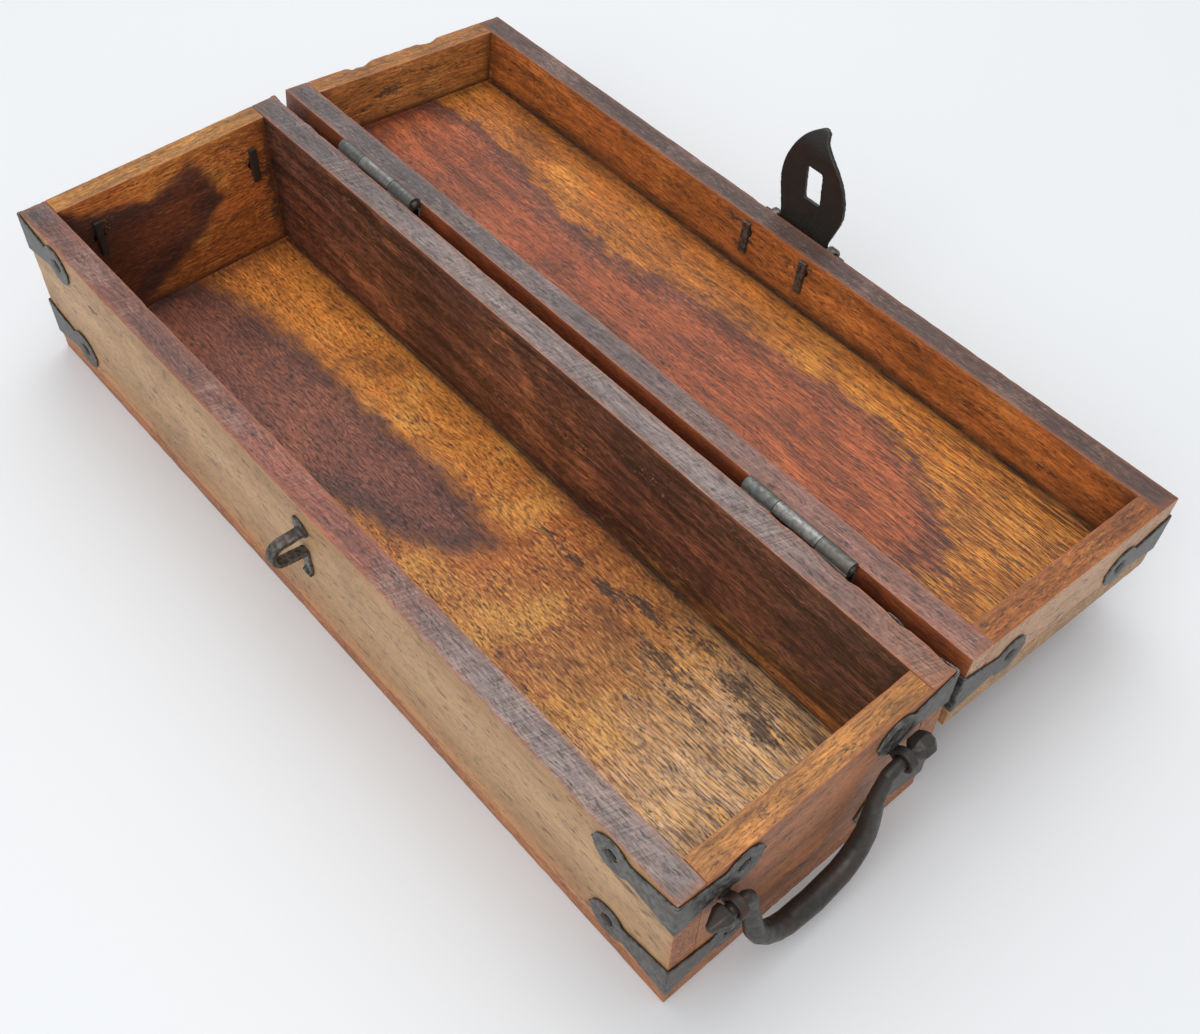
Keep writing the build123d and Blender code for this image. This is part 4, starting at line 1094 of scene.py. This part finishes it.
class CHEST_OT_stage(bpy.types.Operator):
    """Lays the pale floor and sets the soft light and the camera"""

    bl_idname = "chest.stage"
    bl_label = "Stage"

    def execute(self, context):
        scene = context.scene
        pick_only()
        bpy.ops.mesh.primitive_circle_add(vertices=96, radius=FLOOR_RADIUS, fill_type="NGON")
        ground = context.object
        ground.name = "floor"
        # Plain matt paint, so that nothing on the floor draws the eye
        sheet, _, shader, _ = start_material("painted_floor_plain", False)
        shader.inputs["Base Color"].default_value = tone("floor")
        shader.inputs["Roughness"].default_value = FLOOR_ROUGHNESS
        ground.data.materials.append(sheet)
        ground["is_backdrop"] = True
        world = bpy.data.worlds.new("soft_room")
        scene.world = world
        world.use_nodes = True
        back = next(n for n in world.node_tree.nodes if n.type == "BACKGROUND")
        back.inputs["Color"].default_value = ROOM_COLOUR
        back.inputs["Strength"].default_value = ROOM_LIGHT
        for name, (spot, size, power) in LAMPS.items():
            pick_only()
            bpy.ops.object.light_add(type="AREA", location=spot)
            lamp = context.object
            lamp.name = name
            lamp.data.size = size
            lamp.data.energy = power
            lamp.rotation_euler = (-Vector(spot)).to_track_quat("-Z", "Y").to_euler()
        shot = bpy.data.cameras.new("shot")
        shot.sensor_width = SENSOR
        shot.lens = SHOT_LENS / PICTURE[0] * SENSOR
        shot.shift_x = (PICTURE[0] / 2 - SHOT_MIDDLE[0]) / PICTURE[0]
        shot.shift_y = (SHOT_MIDDLE[1] - PICTURE[1] / 2) / PICTURE[0]
        shot.clip_start = 0.01
        camera = bpy.data.objects.new("shot", shot)
        scene.collection.objects.link(camera)
        turn = Matrix((Vector(SHOT_RIGHT), -Vector(SHOT_DOWN), -Vector(SHOT_FORWARD))).transposed()
        camera.matrix_world = Matrix.Translation(Vector(SHOT_PLACE) * MM) @ turn.to_4x4()
        scene.camera = camera
        scene.view_settings.view_transform = "Standard"
        return {"FINISHED"}


STEPS = (
    CHEST_OT_body_boards,
    CHEST_OT_lid_boards,
    CHEST_OT_straps,
    CHEST_OT_hinges,
    CHEST_OT_handles,
    CHEST_OT_lock,
    CHEST_OT_stage,
)


class CHEST_PT_panel(bpy.types.Panel):
    """Lists the steps that make the box"""

    bl_label = "Iron-bound box"
    bl_idname = "CHEST_PT_panel"
    bl_space_type = "VIEW_3D"
    bl_region_type = "UI"
    bl_category = "Box"

    def draw(self, context):
        for group in (context.scene.chest_sizes, context.scene.chest_colours):
            for key in group.__annotations__:
                self.layout.prop(group, key)
        for step in STEPS:
            self.layout.operator(step.bl_idname)


CLASSES = (ChestColours, ChestSizes, *STEPS, CHEST_PT_panel)


def register():
    for each in CLASSES:
        bpy.utils.register_class(each)
    bpy.types.Scene.chest_colours = bpy.props.PointerProperty(type=ChestColours)
    bpy.types.Scene.chest_sizes = bpy.props.PointerProperty(type=ChestSizes)


def unregister():
    del bpy.types.Scene.chest_sizes
    del bpy.types.Scene.chest_colours
    for each in reversed(CLASSES):
        bpy.utils.unregister_class(each)


def main():
    register()
    for step in STEPS:
        area, name = step.bl_idname.split(".")
        getattr(getattr(bpy.ops, area), name)()
    boxes = {"cad": CAD_BOX, "visual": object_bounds()}
    {key: [[float(x) for x in corner] for corner in box] for key, box in boxes.items()}


if __name__ == "__main__":
    main()
